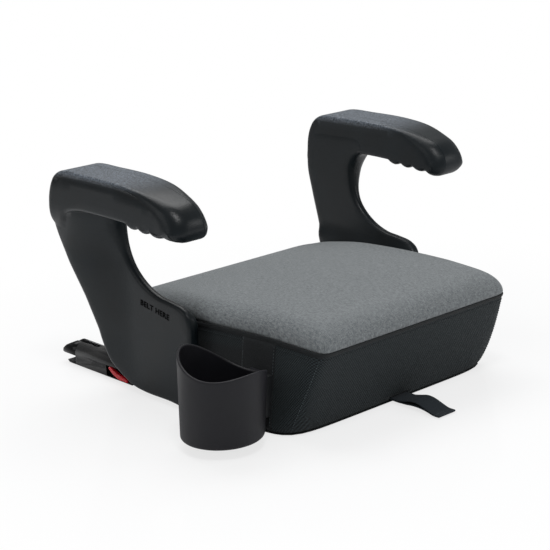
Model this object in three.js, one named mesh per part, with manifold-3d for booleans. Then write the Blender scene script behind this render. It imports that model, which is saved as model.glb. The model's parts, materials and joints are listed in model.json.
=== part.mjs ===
// Backless booster seat: a moulded base with two armrests, a padded cover, a hang-on cup holder and a
// pair of lower-anchor connectors on a sliding carriage that a strap at the front pulls in.
//
// Millimetres. +X is the sitter's left, -Y is the front, +Z is up. The origin is the middle of the
// underside, on the plane that the seat rests on. Pieces that come in pairs are made for +X and mirrored.
import * as THREE from 'three';
import Module from 'manifold-3d';
import { mergeVertices } from 'three/addons/utils/BufferGeometryUtils.js';

const wasm = await Module();
wasm.setup();
const { Manifold, Mesh: SolidMesh } = wasm;

// ---------------------------------------------------------------- driving dimensions
const GAP = 0.3; // between pieces that touch
const FIT = 0.4; // round a loose layer, such as fabric over foam

// Seat body, outside of the cover. "Sill" is the lower edge, "seam" the edge of the top panel.
const SIDE = 157; // half the cover's width towards the rear; whatever stands beside it is set out from here
const SILL = { z: 2.6, front: -138, rear: 128, halfFront: SIDE - 5, halfRear: SIDE, squareness: 9 };
const SEAM = { z: 96, front: -174.5, rear: 146, halfFront: SIDE - 22, halfRear: SIDE, squareness: 34 };
const SEAM_DROP = 0.0003; // the seam bends down away from its highest point, mm per mm squared
const SEAM_PEAK_Y = -60;
const RING_POINTS = 40;
const EVENNESS = 3; // 1 gathers the ring's points in the corners, higher values even them out
const CROWN = 23; // how far the padded top stands over its seam at the front
const CROWN_FADE = 0.03; // loss of that height per mm towards the rear
const CROWN_EDGE = 27; // width of the rounded shoulder
const FABRIC = 2;
const BINDING = 3.4;
const BINDING_PROUD = 0.8;
const HEM_WIDTH = 5.6;
const HEM_Z = [0.6, 2.2];

const WALL = 3; // mouldings
const DECK_Z = SEAM.z - 28; // top of the base shell, under the foam
const PAN_HEIGHT = 12;
const PAN_CLEAR = 0.6; // round the pan inside the shell
const RIB = 2.5;
const RIB_FOOT_Z = 24;

// Armrest: an upright that grows out of the foot beside the seat, and the arm that lies across its top.
const ARM = { inner: SIDE + 1, innerTop: SIDE + 5.5, stepLow: 98, stepHigh: 112, outer: SIDE + 55.5 };
// Outer face of the upright along its front and rear edges, as (height, distance out from SIDE).
const UPRIGHT_FRONT = [[3, 13], [60, 14], [110, 15], [150, 17], [185, 21], [210, 31], [250, 35]];
const UPRIGHT_REAR = [[3, 19], [30, 23], [65, 24], [101, 31], [141, 41], [181, 48], [215, 53], [250, 53]];
const UPRIGHT_TURN = [78, 152]; // the face turns outwards between these values of y
// Side outlines as (y, z, edge rounding), through which a closed curve runs.
const UPRIGHT_OUTLINE = [
  [-6, 5, 3], [30, 5, 4], [70, 5, 4], [90, 8, 4], [108, 18, 5], [122, 31, 6], [132, 52, 7],
  [140, 80, 8], [148, 115, 8], [157, 150, 8], [163.5, 182, 8], [160, 208, 8], [148, 226, 7],
  [110, 229, 6], [68, 226, 6], [63, 211, 6], [76, 202, 7], [82.5, 190, 8], [84, 174, 8], [82, 160, 8],
  [76, 147, 8], [66, 136, 8], [51, 126, 7], [33, 119.5, 7], [14, 117, 6], [-2, 114, 6], [-13, 107, 6],
  [-17.5, 97, 6], [-17, 80, 5], [-15, 40, 4], [-14, 12, 3],
];
const ARM_OUTLINE = [
  [150, 198, 7], [163, 203, 8], [161, 217, 8], [156, 229, 8], [147, 239, 7], [132, 246, 6], [90, 247, 6],
  [40, 246, 7], [3, 242, 9], [-22, 236, 12], [-42, 228, 14], [-52, 214, 15], [-52, 203, 13],
  [-46, 196.5, 11], [-37, 197.5, 8], [-28, 202, 7], [0, 204, 7], [30, 206, 7], [70, 207, 7], [115, 204, 7],
];
const ARM_SHELL = 3;
const ARM_ROUND_SHARE = 0.45; // the rounding stays under this share of the thickness
const ARM_SKIN = { steps: 2, angles: [90, 50, 22, 0] }; // points on the curve for each point above, and
const ARM_HOLLOW = { steps: 1, angles: [90, 30, 0] }; // the turns of the rounded edge, outside and inside

// Cup holder and the bracket that it drops into, on the sitter's right
const BRACKET = { halfWidth: 15, low: 20, high: 62, outer: SIDE + 0.1, lip: 1.8 };
const TONGUE = { halfWidth: 9.6, thick: 2.8, low: 32, bridge: 3.6 };
const TONGUE_OUTER = BRACKET.outer - BRACKET.lip - GAP;
const CUP = { y: -97, z: 11, radius: 41.5, rimRadius: 44, wall: 3, corner: 3, lean: -6 };
const CUP_X = -(BRACKET.outer + FIT + CUP.rimRadius);
const CUP_RIM = { low: 76, high: 93, turn: 18, tilt: 11, tiltTurn: 63 }; // turns in degrees from +X
const CUP_SIDES = 32;

// Lower-anchor connectors and the carriage that joins them
const HOUSING = { x0: SIDE - 25, x1: SIDE + 3, y0: SILL.rear - 24, y1: SILL.rear + 108, z0: 1, z1: 26 };
const MOUTH = { y: HOUSING.y1 - 26, z0: 4.5, z1: 12 };
const JAW = { x: (HOUSING.x0 + HOUSING.x1) / 2, thick: 4, slot: 6, pivotY: HOUSING.y1 - 42, pivotZ: 17 };
const JAW_PIN = { radius: 2.5, reach: 8 };
const PIN_CLEARANCE = 0.3;
const BUTTON = { y0: HOUSING.y0 + 8, length: 33, z0: 3, z1: 14.5, depth: 3.7, proud: 1.5, travel: 5 };
const CARRIAGE_IN = 40; // how far the connectors draw in, and
const CARRIAGE_OUT = 15; // out, from where they stand
const CHANNEL = { clear: 3.5, top: 30 };
const SLIDE_BAR = { x: HOUSING.x0 + 7, width: 8, z0: 4, z1: 14, rear: HOUSING.y0 - GAP, front: -20 };
const CROSSBAR_DEPTH = 12;

// Adjuster strap at the front
const STRAP = { x: 2.5, width: 25, thick: 1.4, z: 4.9 };
const STRAP_NOTCH_TOP = 9.5;
const ADJUSTER = { y0: -104, y1: -80, plate: 2, height: 19, pinY: -93, pinZ: 13.5, pin: 2 };
const CAM = { hub: 4.6, reach: 30, lever: 3 };

// Fasteners and feet
const SCREW = { shank: 2.2, head: 5, headHigh: 3, length: 21 };
const SCREW_PLACES = [[28, DECK_Z - 16], [92, DECK_Z - 12]]; // y, z
const SCREW_BOSS_RADIUS = 6;
const FOOT = { x: SIDE - 49, front: -92, rear: 72, length: 42, width: 16, thick: 1.7 };

// ---------------------------------------------------------------- materials
const paint = (color, roughness, metalness = 0) => (
  new THREE.MeshStandardMaterial({ color, roughness, metalness }));
const BLACK_PLASTIC = paint(0x25282b, 0.55);
const ARM_PLASTIC = paint(0x2b3034, 0.5);
const CUP_PLASTIC = paint(0x2e2e31, 0.5);
const GREY_FABRIC = paint(0x757b7f, 0.9);
const BLACK_MESH = paint(0x1b1d20, 0.85);
const BLACK_TRIM = paint(0x141517, 0.8);
const FOAM = paint(0xb9bcbc, 0.95);
const WEBBING = paint(0x202224, 0.8);
const STEEL = paint(0xb8bbbe, 0.35, 0.9);
const RED_PLASTIC = paint(0xb5202c, 0.4);
const RUBBER = paint(0x191a1b, 0.9);

// ---------------------------------------------------------------- helpers
const seat = new THREE.Group();

// A closed solid from loose or indexed triangles, facing outwards.
function solid(geometry) {
  const bare = geometry.clone();
  bare.deleteAttribute('normal');
  bare.deleteAttribute('uv');
  const merged = mergeVertices(bare, 1e-4);
  const points = new Float32Array(merged.attributes.position.array);
  const triangles = new Uint32Array(merged.index.array);
  let volume = 0;
  const corner = (i) => new THREE.Vector3().fromArray(points, 3 * i);
  for (let i = 0; i < triangles.length; i += 3) {
    const [a, b, c] = [corner(triangles[i]), corner(triangles[i + 1]), corner(triangles[i + 2])];
    volume += a.dot(b.cross(c));
  }
  if (volume < 0) {
    for (let i = 0; i < triangles.length; i += 3) {
      [triangles[i + 1], triangles[i + 2]] = [triangles[i + 2], triangles[i + 1]];
    }
  }
  return new Manifold(new SolidMesh({ numProp: 3, vertProperties: points, triVerts: triangles }));
}

function place(name, shape, material) {
  const mesh = shape.getMesh();
  const geometry = new THREE.BufferGeometry();
  geometry.setAttribute('position', new THREE.BufferAttribute(new Float32Array(mesh.vertProperties), 3));
  geometry.setIndex(new THREE.BufferAttribute(new Uint32Array(mesh.triVerts), 1));
  geometry.computeVertexNormals();
  const node = new THREE.Mesh(geometry, material);
  node.name = name;
  seat.add(node);
}

// The same piece on both sides: "left" is the sitter's left, at +X.
function placePair(name, shape, material) {
  place(`${name}_left`, shape, material);
  place(`${name}_right`, shape.mirror([1, 0, 0]), material);
}

function block(x, y, z) {
  const geometry = new THREE.BoxGeometry(x[1] - x[0], y[1] - y[0], z[1] - z[0]);
  return solid(geometry.translate((x[0] + x[1]) / 2, (y[0] + y[1]) / 2, (z[0] + z[1]) / 2));
}

function rodAlongX(radius, x, y, z, sides = 12) {
  const geometry = new THREE.CylinderGeometry(radius, radius, x[1] - x[0], sides);
  return solid(geometry.rotateZ(Math.PI / 2).translate((x[0] + x[1]) / 2, y, z));
}

const flat = (points) => new THREE.Shape(points.map(([a, b]) => new THREE.Vector2(a, b)));

// A plate whose outline is given as (y, z), between two values of x.
function plateAcrossX(points, x) {
  const geometry = new THREE.ExtrudeGeometry(flat(points), { depth: x[1] - x[0], bevelEnabled: false });
  // Turns the sheet's own (x, y, z) into (y, z, x).
  geometry.applyMatrix4(new THREE.Matrix4().set(0, 0, 1, 0, 1, 0, 0, 0, 0, 1, 0, 0, 0, 0, 0, 1));
  return solid(geometry.translate(x[0], 0, 0));
}

// A plate whose outline is given as (x, z), between two values of y.
function plateAcrossY(points, y) {
  const geometry = new THREE.ExtrudeGeometry(flat(points), { depth: y[1] - y[0], bevelEnabled: false });
  return solid(geometry.rotateX(Math.PI / 2).translate(0, y[1], 0));
}

// Triangles between rings of equally many points. A "loop" joins the last ring to the first, a lid closes
// an end with one middle point or, for a bent outline, with triangles across it seen along X.
function loft(rings, { loop = false, lids = 'none' } = {}) {
  const size = rings[0].length;
  const points = rings.flat();
  const index = [];
  const bands = loop ? rings.length : rings.length - 1;
  for (let r = 0; r < bands; r += 1) {
    const next = (r + 1) % rings.length;
    for (let i = 0; i < size; i += 1) {
      const j = (i + 1) % size;
      const [a, b, c, d] = [r * size + i, r * size + j, next * size + j, next * size + i];
      const shortAC = points[a].distanceTo(points[c]) <= points[b].distanceTo(points[d]) + 1e-6;
      index.push(...(shortAC ? [a, b, c, a, c, d] : [a, b, d, b, c, d]));
    }
  }
  const ends = [[0, true], [rings.length - 1, false]];
  for (const [r, reversed] of lids === 'none' ? [] : ends) {
    let faces;
    if (lids === 'middle') {
      const middle = new THREE.Vector3();
      rings[r].forEach((p) => middle.addScaledVector(p, 1 / size));
      points.push(middle);
      faces = rings[r].map((_, i) => [points.length - 1, r * size + i, r * size + ((i + 1) % size)]);
    } else {
      const outline = rings[r].map((p) => new THREE.Vector2(p.y, p.z));
      faces = THREE.ShapeUtils.triangulateShape(outline, []).map((f) => f.map((i) => r * size + i));
    }
    for (const [a, b, c] of faces) {
      index.push(...(reversed ? [a, c, b] : [a, b, c]));
    }
  }
  const geometry = new THREE.BufferGeometry().setFromPoints(points);
  geometry.setIndex(index);
  return solid(geometry);
}

const mix = THREE.MathUtils.lerp;

function lookUp(table, at) {
  const last = table.length - 1;
  if (at <= table[0][0]) return table[0][1];
  if (at >= table[last][0]) return table[last][1];
  const i = table.findIndex(([key]) => key > at);
  const [[k0, v0], [k1, v1]] = [table[i - 1], table[i]];
  return mix(v0, v1, (at - k0) / (k1 - k0));
}

// ---------------------------------------------------------------- seat body outline
const seamZ = (y) => SEAM.z - SEAM_DROP * (y - SEAM_PEAK_Y) ** 2;

const shareAt = (z) => (z - SILL.z) / (SEAM.z - SILL.z);

// One point of the body's outline at a height, moved in by inset. turn runs once round from 0 to 1.
function bodyPoint(turn, z, inset) {
  const share = shareAt(z);
  const front = mix(SILL.front, SEAM.front, share) + inset;
  const rear = mix(SILL.rear, SEAM.rear, share) - inset;
  const halfFront = mix(SILL.halfFront, SEAM.halfFront, share) - inset;
  const halfRear = mix(SILL.halfRear, SEAM.halfRear, share) - inset;
  const spread = (v) => Math.sign(v) * Math.abs(v) ** EVENNESS;
  const angle = Math.atan2(spread(Math.sin(2 * Math.PI * turn)), spread(Math.cos(2 * Math.PI * turn)));
  const squareness = mix(SILL.squareness, SEAM.squareness, share);
  const bulge = (v) => Math.sign(v) * Math.abs(v) ** (2 / squareness);
  const along = (bulge(Math.sin(angle)) + 1) / 2;
  const x = bulge(Math.cos(angle)) * mix(halfFront, halfRear, along);
  return new THREE.Vector3(x, mix(front, rear, along), z);
}

const ringTurns = Array.from({ length: RING_POINTS }, (_, i) => (i + 0.5) / RING_POINTS);
const bodyRingAt = (z, inset) => ringTurns.map((turn) => bodyPoint(turn, z, inset));

// A ring on the same sides that follows the seam, raised by rise(y).
function seamRing(inset, rise) {
  return ringTurns.map((turn) => {
    let point = bodyPoint(turn, SEAM.z, 0);
    for (let step = 0; step < 3; step += 1) point = bodyPoint(turn, seamZ(point.y), inset);
    point.z = seamZ(point.y) + rise(point.y);
    return point;
  });
}

// Half width of the body at a place on its side.
function bodySideX(y, z) {
  const share = shareAt(z);
  const [front, rear] = [mix(SILL.front, SEAM.front, share), mix(SILL.rear, SEAM.rear, share)];
  const along = (y - front) / (rear - front);
  const squareness = mix(SILL.squareness, SEAM.squareness, share);
  const rounding = (1 - Math.abs(2 * along - 1) ** squareness) ** (1 / squareness);
  const halfFront = mix(SILL.halfFront, SEAM.halfFront, share);
  const halfRear = mix(SILL.halfRear, SEAM.halfRear, share);
  return rounding * mix(halfFront, halfRear, along);
}

// Height of the padded top over its seam, a given distance in from the edge.
function crownHeight(y, inset) {
  const fade = CROWN_FADE * Math.max(0, y + 100);
  const t = Math.min(1, inset / CROWN_EDGE);
  return (CROWN - fade) * Math.sqrt(1 - (1 - t) ** 2) + 0.025 * Math.max(0, inset - CROWN_EDGE);
}

const TOP_INSETS = [0, 3, 10, 21, 36, 80];
// Rings from the edge of the padded top to its middle, lowered and moved in by depth.
const topRings = (depth, rise) => TOP_INSETS.map((inset) => (
  seamRing(depth + inset, (y) => rise + crownHeight(y, inset))));

// The pocket that each connector slides in, open to the rear and underneath.
const channelCut = block(
  [HOUSING.x0 - CHANNEL.clear, HOUSING.x1 + CHANNEL.clear],
  [HOUSING.y0 - CARRIAGE_IN - CHANNEL.clear, SEAM.rear + 60],
  [-1, CHANNEL.top],
);
const channelCuts = channelCut.add(channelCut.mirror([1, 0, 0]));
const strapNotch = block(
  [STRAP.x - STRAP.width / 2 - 3, STRAP.x + STRAP.width / 2 + 3],
  [SEAM.front, SILL.front + 20],
  [WALL + 0.05, STRAP_NOTCH_TOP],
);
const screwHoles = SCREW_PLACES.map(([y, z]) => (
  rodAlongX(SCREW.shank + GAP, [SIDE - 27, SIDE + 18], y, z)));
const bothScrewHoles = screwHoles.flatMap((hole) => [hole, hole.mirror([1, 0, 0])]);

// ---------------------------------------------------------------- base
const FOOT_PLACES = [FOOT.front, FOOT.rear].flatMap((y) => [[-FOOT.x, y], [FOOT.x, y]]);

function baseShell() {
  const levels = (low, high) => [low, PAN_HEIGHT, (PAN_HEIGHT + DECK_Z) / 2, high];
  const stack = (heights, inset) => loft(heights.map((z) => bodyRingAt(z, inset)), { lids: 'middle' });
  const outer = stack(levels(SILL.z + GAP, DECK_Z), FABRIC + FIT);
  const hollow = stack(levels(0, DECK_Z - WALL), FABRIC + FIT + WALL);
  const ribLength = [SILL.front + 25, SILL.rear - 25];
  const ribs = [-60, 60].map((x) => block([x - RIB / 2, x + RIB / 2], ribLength, [RIB_FOOT_Z, DECK_Z - 1]));
  ribs.push(block([-120, 120], [60, 60 + RIB], [RIB_FOOT_Z, DECK_Z - 1]));
  let shell = outer.subtract(hollow);
  for (const rib of ribs) shell = shell.add(rib);
  for (const cut of [channelCuts, strapNotch, ...bothScrewHoles]) shell = shell.subtract(cut);
  return shell;
}

function basePan() {
  const inset = FABRIC + FIT + WALL + PAN_CLEAR;
  const filled = (heights, moved) => loft(heights.map((z) => bodyRingAt(z, moved)), { lids: 'middle' });
  let pan = filled([0, PAN_HEIGHT], inset).subtract(filled([WALL, PAN_HEIGHT + 1], inset + WALL));
  const half = SLIDE_BAR.width / 2 - 1;
  const rail = block([SLIDE_BAR.x - half, SLIDE_BAR.x + half], [-58, 55], [WALL - 0.5, SLIDE_BAR.z0 - 0.4]);
  pan = pan.add(rail).add(rail.mirror([1, 0, 0]));
  for (const [x, y] of FOOT_PLACES) {
    pan = pan.subtract(footBlock(x, y, GAP, FOOT.thick + GAP));
  }
  return pan.subtract(channelCuts).subtract(strapNotch);
}

function footBlock(x, y, grow, top) {
  const [halfLength, halfWidth] = [FOOT.length / 2 + grow, FOOT.width / 2 + grow];
  return block([x - halfLength, x + halfLength], [y - halfWidth, y + halfWidth], [grow > 0 ? -1 : 0, top]);
}

place('base_shell', baseShell(), BLACK_PLASTIC);
place('base_pan', basePan(), BLACK_PLASTIC);
const footNames = ['foot_front_right', 'foot_front_left', 'foot_rear_right', 'foot_rear_left'];
FOOT_PLACES.forEach(([x, y], i) => place(footNames[i], footBlock(x, y, 0, FOOT.thick), RUBBER));

// ---------------------------------------------------------------- foam and cover
function seatFoam() {
  const inset = FABRIC + FIT;
  const sides = [bodyRingAt(DECK_Z + GAP, inset), bodyRingAt(DECK_Z + 12, inset)];
  const top = topRings(inset, -FABRIC - FIT);
  return loft([...sides, ...top], { lids: 'middle' });
}

function coverTop() {
  const rise = BINDING / 2 + GAP;
  const outer = topRings(0, rise);
  const inner = topRings(FABRIC, rise - FABRIC);
  inner[0].forEach((p, i) => { p.z = outer[0][i].z; });
  const middle = outer.length - 1;
  return loft([...outer.slice(0, middle + 1).reverse(), ...inner], { lids: 'middle' });
}

function coverSide() {
  const top = () => -BINDING / 2 - GAP;
  const levels = [PAN_HEIGHT, (PAN_HEIGHT + DECK_Z) / 2, DECK_Z];
  const side = (inset) => (
    [SILL.z, ...levels].map((z) => bodyRingAt(z, inset)).concat([seamRing(inset, top)]));
  const rings = [...side(0), ...side(FABRIC).reverse()];
  let band = loft(rings, { loop: true });
  for (const cut of [channelCuts, strapNotch, ...bothScrewHoles]) band = band.subtract(cut);
  return band;
}

function coverBinding() {
  const [low, high] = [() => -BINDING / 2, () => BINDING / 2];
  const rings = [
    seamRing(-BINDING_PROUD, low), seamRing(-BINDING_PROUD, high),
    seamRing(FABRIC, high), seamRing(FABRIC, low),
  ];
  return loft(rings, { loop: true });
}

function coverHem() {
  const corners = [[HEM_Z[0], 0], [HEM_Z[1], 0], [HEM_Z[1], HEM_WIDTH], [HEM_Z[0], HEM_WIDTH]];
  const rings = corners.map(([z, inset]) => bodyRingAt(z, inset));
  // The connectors' channels part it into a long front run and a short one across the back.
  const pieces = loft(rings, { loop: true }).subtract(channelCuts).decompose();
  return pieces.sort((a, b) => b.volume() - a.volume());
}

place('seat_foam', seatFoam(), FOAM);
place('cover_top', coverTop(), GREY_FABRIC);
place('cover_side', coverSide(), BLACK_MESH);
place('cover_binding', coverBinding(), BLACK_TRIM);
const [hemFront, hemRear] = coverHem();
place('cover_hem_front', hemFront, BLACK_TRIM);
place('cover_hem_rear', hemRear, BLACK_TRIM);

// ---------------------------------------------------------------- armrests
const { smoothstep } = THREE.MathUtils;
const armInnerX = (y, z) => mix(ARM.inner, ARM.innerTop, smoothstep(z, ARM.stepLow, ARM.stepHigh));
const uprightOuterX = (y, z) => (
  SIDE + mix(lookUp(UPRIGHT_FRONT, z), lookUp(UPRIGHT_REAR, z), smoothstep(y, ...UPRIGHT_TURN)));

// A rounded slab between the inner face and an outer face, moved in all round by skin.
function slab(outline, outerX, skin, { steps, angles }) {
  const points = outline.map((p) => new THREE.Vector3(...p));
  const curve = new THREE.CatmullRomCurve3(points, true, 'centripetal');
  const count = outline.length * steps;
  const stations = [];
  for (let i = 0; i < count; i += 1) {
    const point = curve.getPoint(i / count);
    const tangent = curve.getTangent(i / count);
    const length = Math.hypot(tangent.x, tangent.y);
    const outwards = [tangent.y / length, -tangent.x / length];
    const thickness = outerX(point.x, point.y) - armInnerX(point.x, point.y) - 2 * skin;
    const round = Math.min(Math.max(point.z - skin, 1), thickness * ARM_ROUND_SHARE);
    stations.push({ y: point.x, z: point.y, outwards, round });
  }
  const ring = (angle, faceX, sign) => stations.map(({ y, z, outwards, round }) => {
    const turn = THREE.MathUtils.degToRad(angle);
    const inset = skin + round * (1 - Math.cos(turn));
    const depth = skin + round * (1 - Math.sin(turn));
    const [py, pz] = [y - outwards[0] * inset, z - outwards[1] * inset];
    return new THREE.Vector3(faceX(py, pz) - sign * depth, py, pz);
  });
  const rings = [
    ...angles.map((angle) => ring(angle, armInnerX, -1)),
    ...[...angles].reverse().map((angle) => ring(angle, outerX, 1)),
  ];
  return loft(rings, { lids: 'outline' });
}

// The armrest's full form, or the hollow inside it when skin is the wall thickness.
const armForm = (skin, detail) => (
  slab(UPRIGHT_OUTLINE, uprightOuterX, skin, detail).add(slab(ARM_OUTLINE, () => ARM.outer, skin, detail)));

// The mouldings meet a little inside the upright's front edge. This is all that lies to one side of that.
const armJointX = (z) => (armInnerX(0, z) + SIDE + lookUp(UPRIGHT_FRONT, z)) / 2;
function armSide(sign) {
  const heights = [-10, ...UPRIGHT_FRONT.map(([z]) => z), 260];
  const line = heights.map((z) => [armJointX(z) + (sign * GAP) / 2, z]);
  const far = sign > 0 ? 300 : 100;
  return plateAcrossY([...line, [far, 260], [far, -10]], [-100, 250]);
}

function armrestHalf(sign) {
  const shell = armForm(0, ARM_SKIN).subtract(armForm(ARM_SHELL, ARM_HOLLOW)).intersect(armSide(sign));
  return shell.subtract(channelCut);
}

function armrestInner() {
  let half = armrestHalf(-1);
  const start = ARM.inner + ARM_SHELL - 0.5;
  for (const [y, z] of SCREW_PLACES) {
    half = half.add(rodAlongX(SCREW_BOSS_RADIUS, [start, armJointX(z) - GAP], y, z));
  }
  for (const hole of screwHoles) half = half.subtract(hole);
  return half;
}

placePair('armrest_outer', armrestHalf(1), ARM_PLASTIC);
placePair('armrest_inner', armrestInner(), ARM_PLASTIC);

SCREW_PLACES.forEach(([y, z], i) => {
  const seatX = bodySideX(y, z) - FABRIC - FIT - WALL - 1.2;
  const head = rodAlongX(SCREW.head, [seatX - SCREW.headHigh, seatX], y, z);
  const shank = rodAlongX(SCREW.shank, [seatX - 1, seatX + SCREW.length - SCREW.headHigh], y, z);
  placePair(`armrest_screw_${i + 1}`, head.add(shank), STEEL);
});

// ---------------------------------------------------------------- cup holder
function cupRing(radius, height) {
  const ring = [];
  for (let i = 0; i < CUP_SIDES; i += 1) {
    const angle = (2 * Math.PI * i) / CUP_SIDES;
    const z = height(angle);
    const share = (z - CUP.z) / (CUP_RIM.high - CUP.z);
    const [x, y] = [CUP_X, CUP.y + CUP.lean * share];
    const r = radius(share);
    ring.push(new THREE.Vector3(x + r * Math.cos(angle), y + r * Math.sin(angle), z));
  }
  return ring;
}

// The rim dips at the two sides and stands highest at the back.
function rimHeight(angle) {
  const rise = Math.sin(angle - THREE.MathUtils.degToRad(CUP_RIM.turn));
  const slope = Math.sin(angle - THREE.MathUtils.degToRad(CUP_RIM.tiltTurn));
  return mix(CUP_RIM.low, CUP_RIM.high, rise ** 2) + CUP_RIM.tilt * slope;
}

const cupFloor = CUP.z + CUP.wall;
const outerRadius = (share) => mix(CUP.radius, CUP.rimRadius, share);
const innerRadius = (share) => outerRadius(share) - CUP.wall;
const bottomOf = (radius) => (share) => radius(share) - CUP.corner;

function cupHolder() {
  const rings = [
    cupRing(bottomOf(outerRadius), () => CUP.z),
    cupRing(outerRadius, () => CUP.z + CUP.corner),
    cupRing(outerRadius, rimHeight),
    cupRing(innerRadius, rimHeight),
    cupRing(innerRadius, () => cupFloor + CUP.corner),
    cupRing(bottomOf(innerRadius), () => cupFloor),
  ];
  const cup = loft(rings, { lids: 'middle' });
  const bridge = block(
    [CUP_X + CUP.radius, TONGUE.thick - TONGUE_OUTER],
    [CUP.y - TONGUE.halfWidth, CUP.y + TONGUE.halfWidth],
    [BRACKET.high + FIT, BRACKET.high + FIT + TONGUE.bridge],
  );
  const tongue = block(
    [-TONGUE_OUTER, TONGUE.thick - TONGUE_OUTER],
    [CUP.y - TONGUE.halfWidth, CUP.y + TONGUE.halfWidth],
    [TONGUE.low, BRACKET.high + FIT + TONGUE.bridge],
  );
  const inside = loft([
    cupRing(innerRadius, () => cupFloor), cupRing(innerRadius, () => CUP_RIM.high + CUP_RIM.tilt + 5),
  ], { lids: 'middle' });
  return cup.add(bridge.subtract(inside)).add(tongue);
}

function cupBracket() {
  const back = (z) => -(bodySideX(CUP.y, z) + 1 + GAP);
  const outline = [
    [-BRACKET.outer, BRACKET.low], [back(BRACKET.low), BRACKET.low], [back(BRACKET.high), BRACKET.high],
    [-BRACKET.outer, BRACKET.high],
  ];
  const body = plateAcrossY(outline, [CUP.y - BRACKET.halfWidth, CUP.y + BRACKET.halfWidth]);
  const slot = block(
    [-TONGUE_OUTER - GAP, TONGUE.thick - TONGUE_OUTER + GAP],
    [CUP.y - TONGUE.halfWidth - GAP, CUP.y + TONGUE.halfWidth + GAP],
    [TONGUE.low - 2, BRACKET.high + 1],
  );
  return body.subtract(slot);
}

place('cup_holder', cupHolder(), CUP_PLASTIC);
place('cup_bracket', cupBracket(), BLACK_PLASTIC);

// ---------------------------------------------------------------- anchor connectors
function connectorHousing() {
  const { y0, y1, z0, z1 } = HOUSING;
  const outline = [
    [y0, z0 + 2], [y0 + 2, z0], [y1 - 15, z0], [y1 - 11, MOUTH.z0], [MOUTH.y, MOUTH.z0],
    [MOUTH.y - 2, (MOUTH.z0 + MOUTH.z1) / 2], [MOUTH.y, MOUTH.z1], [y1 - 2, MOUTH.z1], [y1, MOUTH.z1 + 2],
    [y1 - 8, z1 - 5], [y1 - 18, z1], [y0 + 3, z1], [y0, z1 - 3],
  ];
  const body = plateAcrossX(outline, [HOUSING.x0, HOUSING.x1]);
  const jawSlot = block(
    [JAW.x - JAW.slot / 2, JAW.x + JAW.slot / 2], [JAW.pivotY - 14, y1 + 5], [MOUTH.z0 - 0.5, z1 + 5],
  );
  const holeX = [JAW.x - JAW_PIN.reach - GAP, JAW.x + JAW_PIN.reach + GAP];
  const pinHole = rodAlongX(JAW_PIN.radius + PIN_CLEARANCE, holeX, JAW.pivotY, JAW.pivotZ);
  const buttonPocket = block(
    [HOUSING.x1 - BUTTON.depth - GAP, HOUSING.x1 + 5],
    [BUTTON.y0 - 1, BUTTON.y0 + BUTTON.length + BUTTON.travel + 1],
    [BUTTON.z0 - GAP, BUTTON.z1 + GAP],
  );
  return body.subtract(jawSlot).subtract(pinHole).subtract(buttonPocket);
}

function jaw() {
  const { pivotY: y, pivotZ: z } = JAW;
  const outline = [
    [y - 7, z - 4], [y - 2, z - 6], [y + 8, z - 5.5], [y + 17, z - 4], [y + 29, z - 4.5], [y + 31, z - 12],
    [y + 36.5, z - 12.5], [y + 37, z - 2], [y + 26, z + 6], [y + 3, z + 7], [y - 5, z + 5],
  ];
  const plate = plateAcrossX(outline, [JAW.x - JAW.thick / 2, JAW.x + JAW.thick / 2]);
  return plate.subtract(rodAlongX(JAW_PIN.radius + PIN_CLEARANCE, [JAW.x - 5, JAW.x + 5], y, z));
}

const releaseButton = () => block(
  [HOUSING.x1 - BUTTON.depth, HOUSING.x1 + BUTTON.proud],
  [BUTTON.y0, BUTTON.y0 + BUTTON.length],
  [BUTTON.z0, BUTTON.z1],
);

placePair('latch_housing', connectorHousing(), BLACK_PLASTIC);
placePair('latch_jaw', jaw(), STEEL);
const jawPinX = [JAW.x - JAW_PIN.reach, JAW.x + JAW_PIN.reach];
placePair('latch_pin', rodAlongX(JAW_PIN.radius, jawPinX, JAW.pivotY, JAW.pivotZ), STEEL);
placePair('release_button', releaseButton(), RED_PLASTIC);

const barX = [SLIDE_BAR.x - SLIDE_BAR.width / 2, SLIDE_BAR.x + SLIDE_BAR.width / 2];
placePair('slide_bar', block(barX, [SLIDE_BAR.front, SLIDE_BAR.rear], [SLIDE_BAR.z0, SLIDE_BAR.z1]), STEEL);
const crossbarY = [SLIDE_BAR.front - GAP - CROSSBAR_DEPTH, SLIDE_BAR.front - GAP];
const crossbarHalf = barX[1] - 2; // short of the bars' outer faces, so it clears the pan when drawn in
place('slide_crossbar', block([-crossbarHalf, crossbarHalf], crossbarY, [SLIDE_BAR.z0, SLIDE_BAR.z1]), STEEL);

// ---------------------------------------------------------------- adjuster and strap
function strap() {
  // Distance in front of the lower edge of the cover, and height over where the strap lies inside.
  const droop = [[14, 0], [22, 1.4], [32, 3.2], [41, 2.7], [51, 0.2], [60, -2.3], [68, -2.5]];
  const middle = [[crossbarY[0] - GAP, STRAP.z], ...droop.map(([y, z]) => [SILL.front - y, STRAP.z + z])];
  const half = STRAP.thick / 2;
  const top = middle.map(([y, z]) => [y, z + half]);
  const under = middle.map(([y, z]) => [y, z - half]).reverse();
  return plateAcrossX([...top, ...under], [STRAP.x - STRAP.width / 2, STRAP.x + STRAP.width / 2]);
}

const frameHalf = STRAP.width / 2 + 2.2;
const frameX = [STRAP.x - frameHalf - ADJUSTER.plate, STRAP.x + frameHalf + ADJUSTER.plate];

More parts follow.
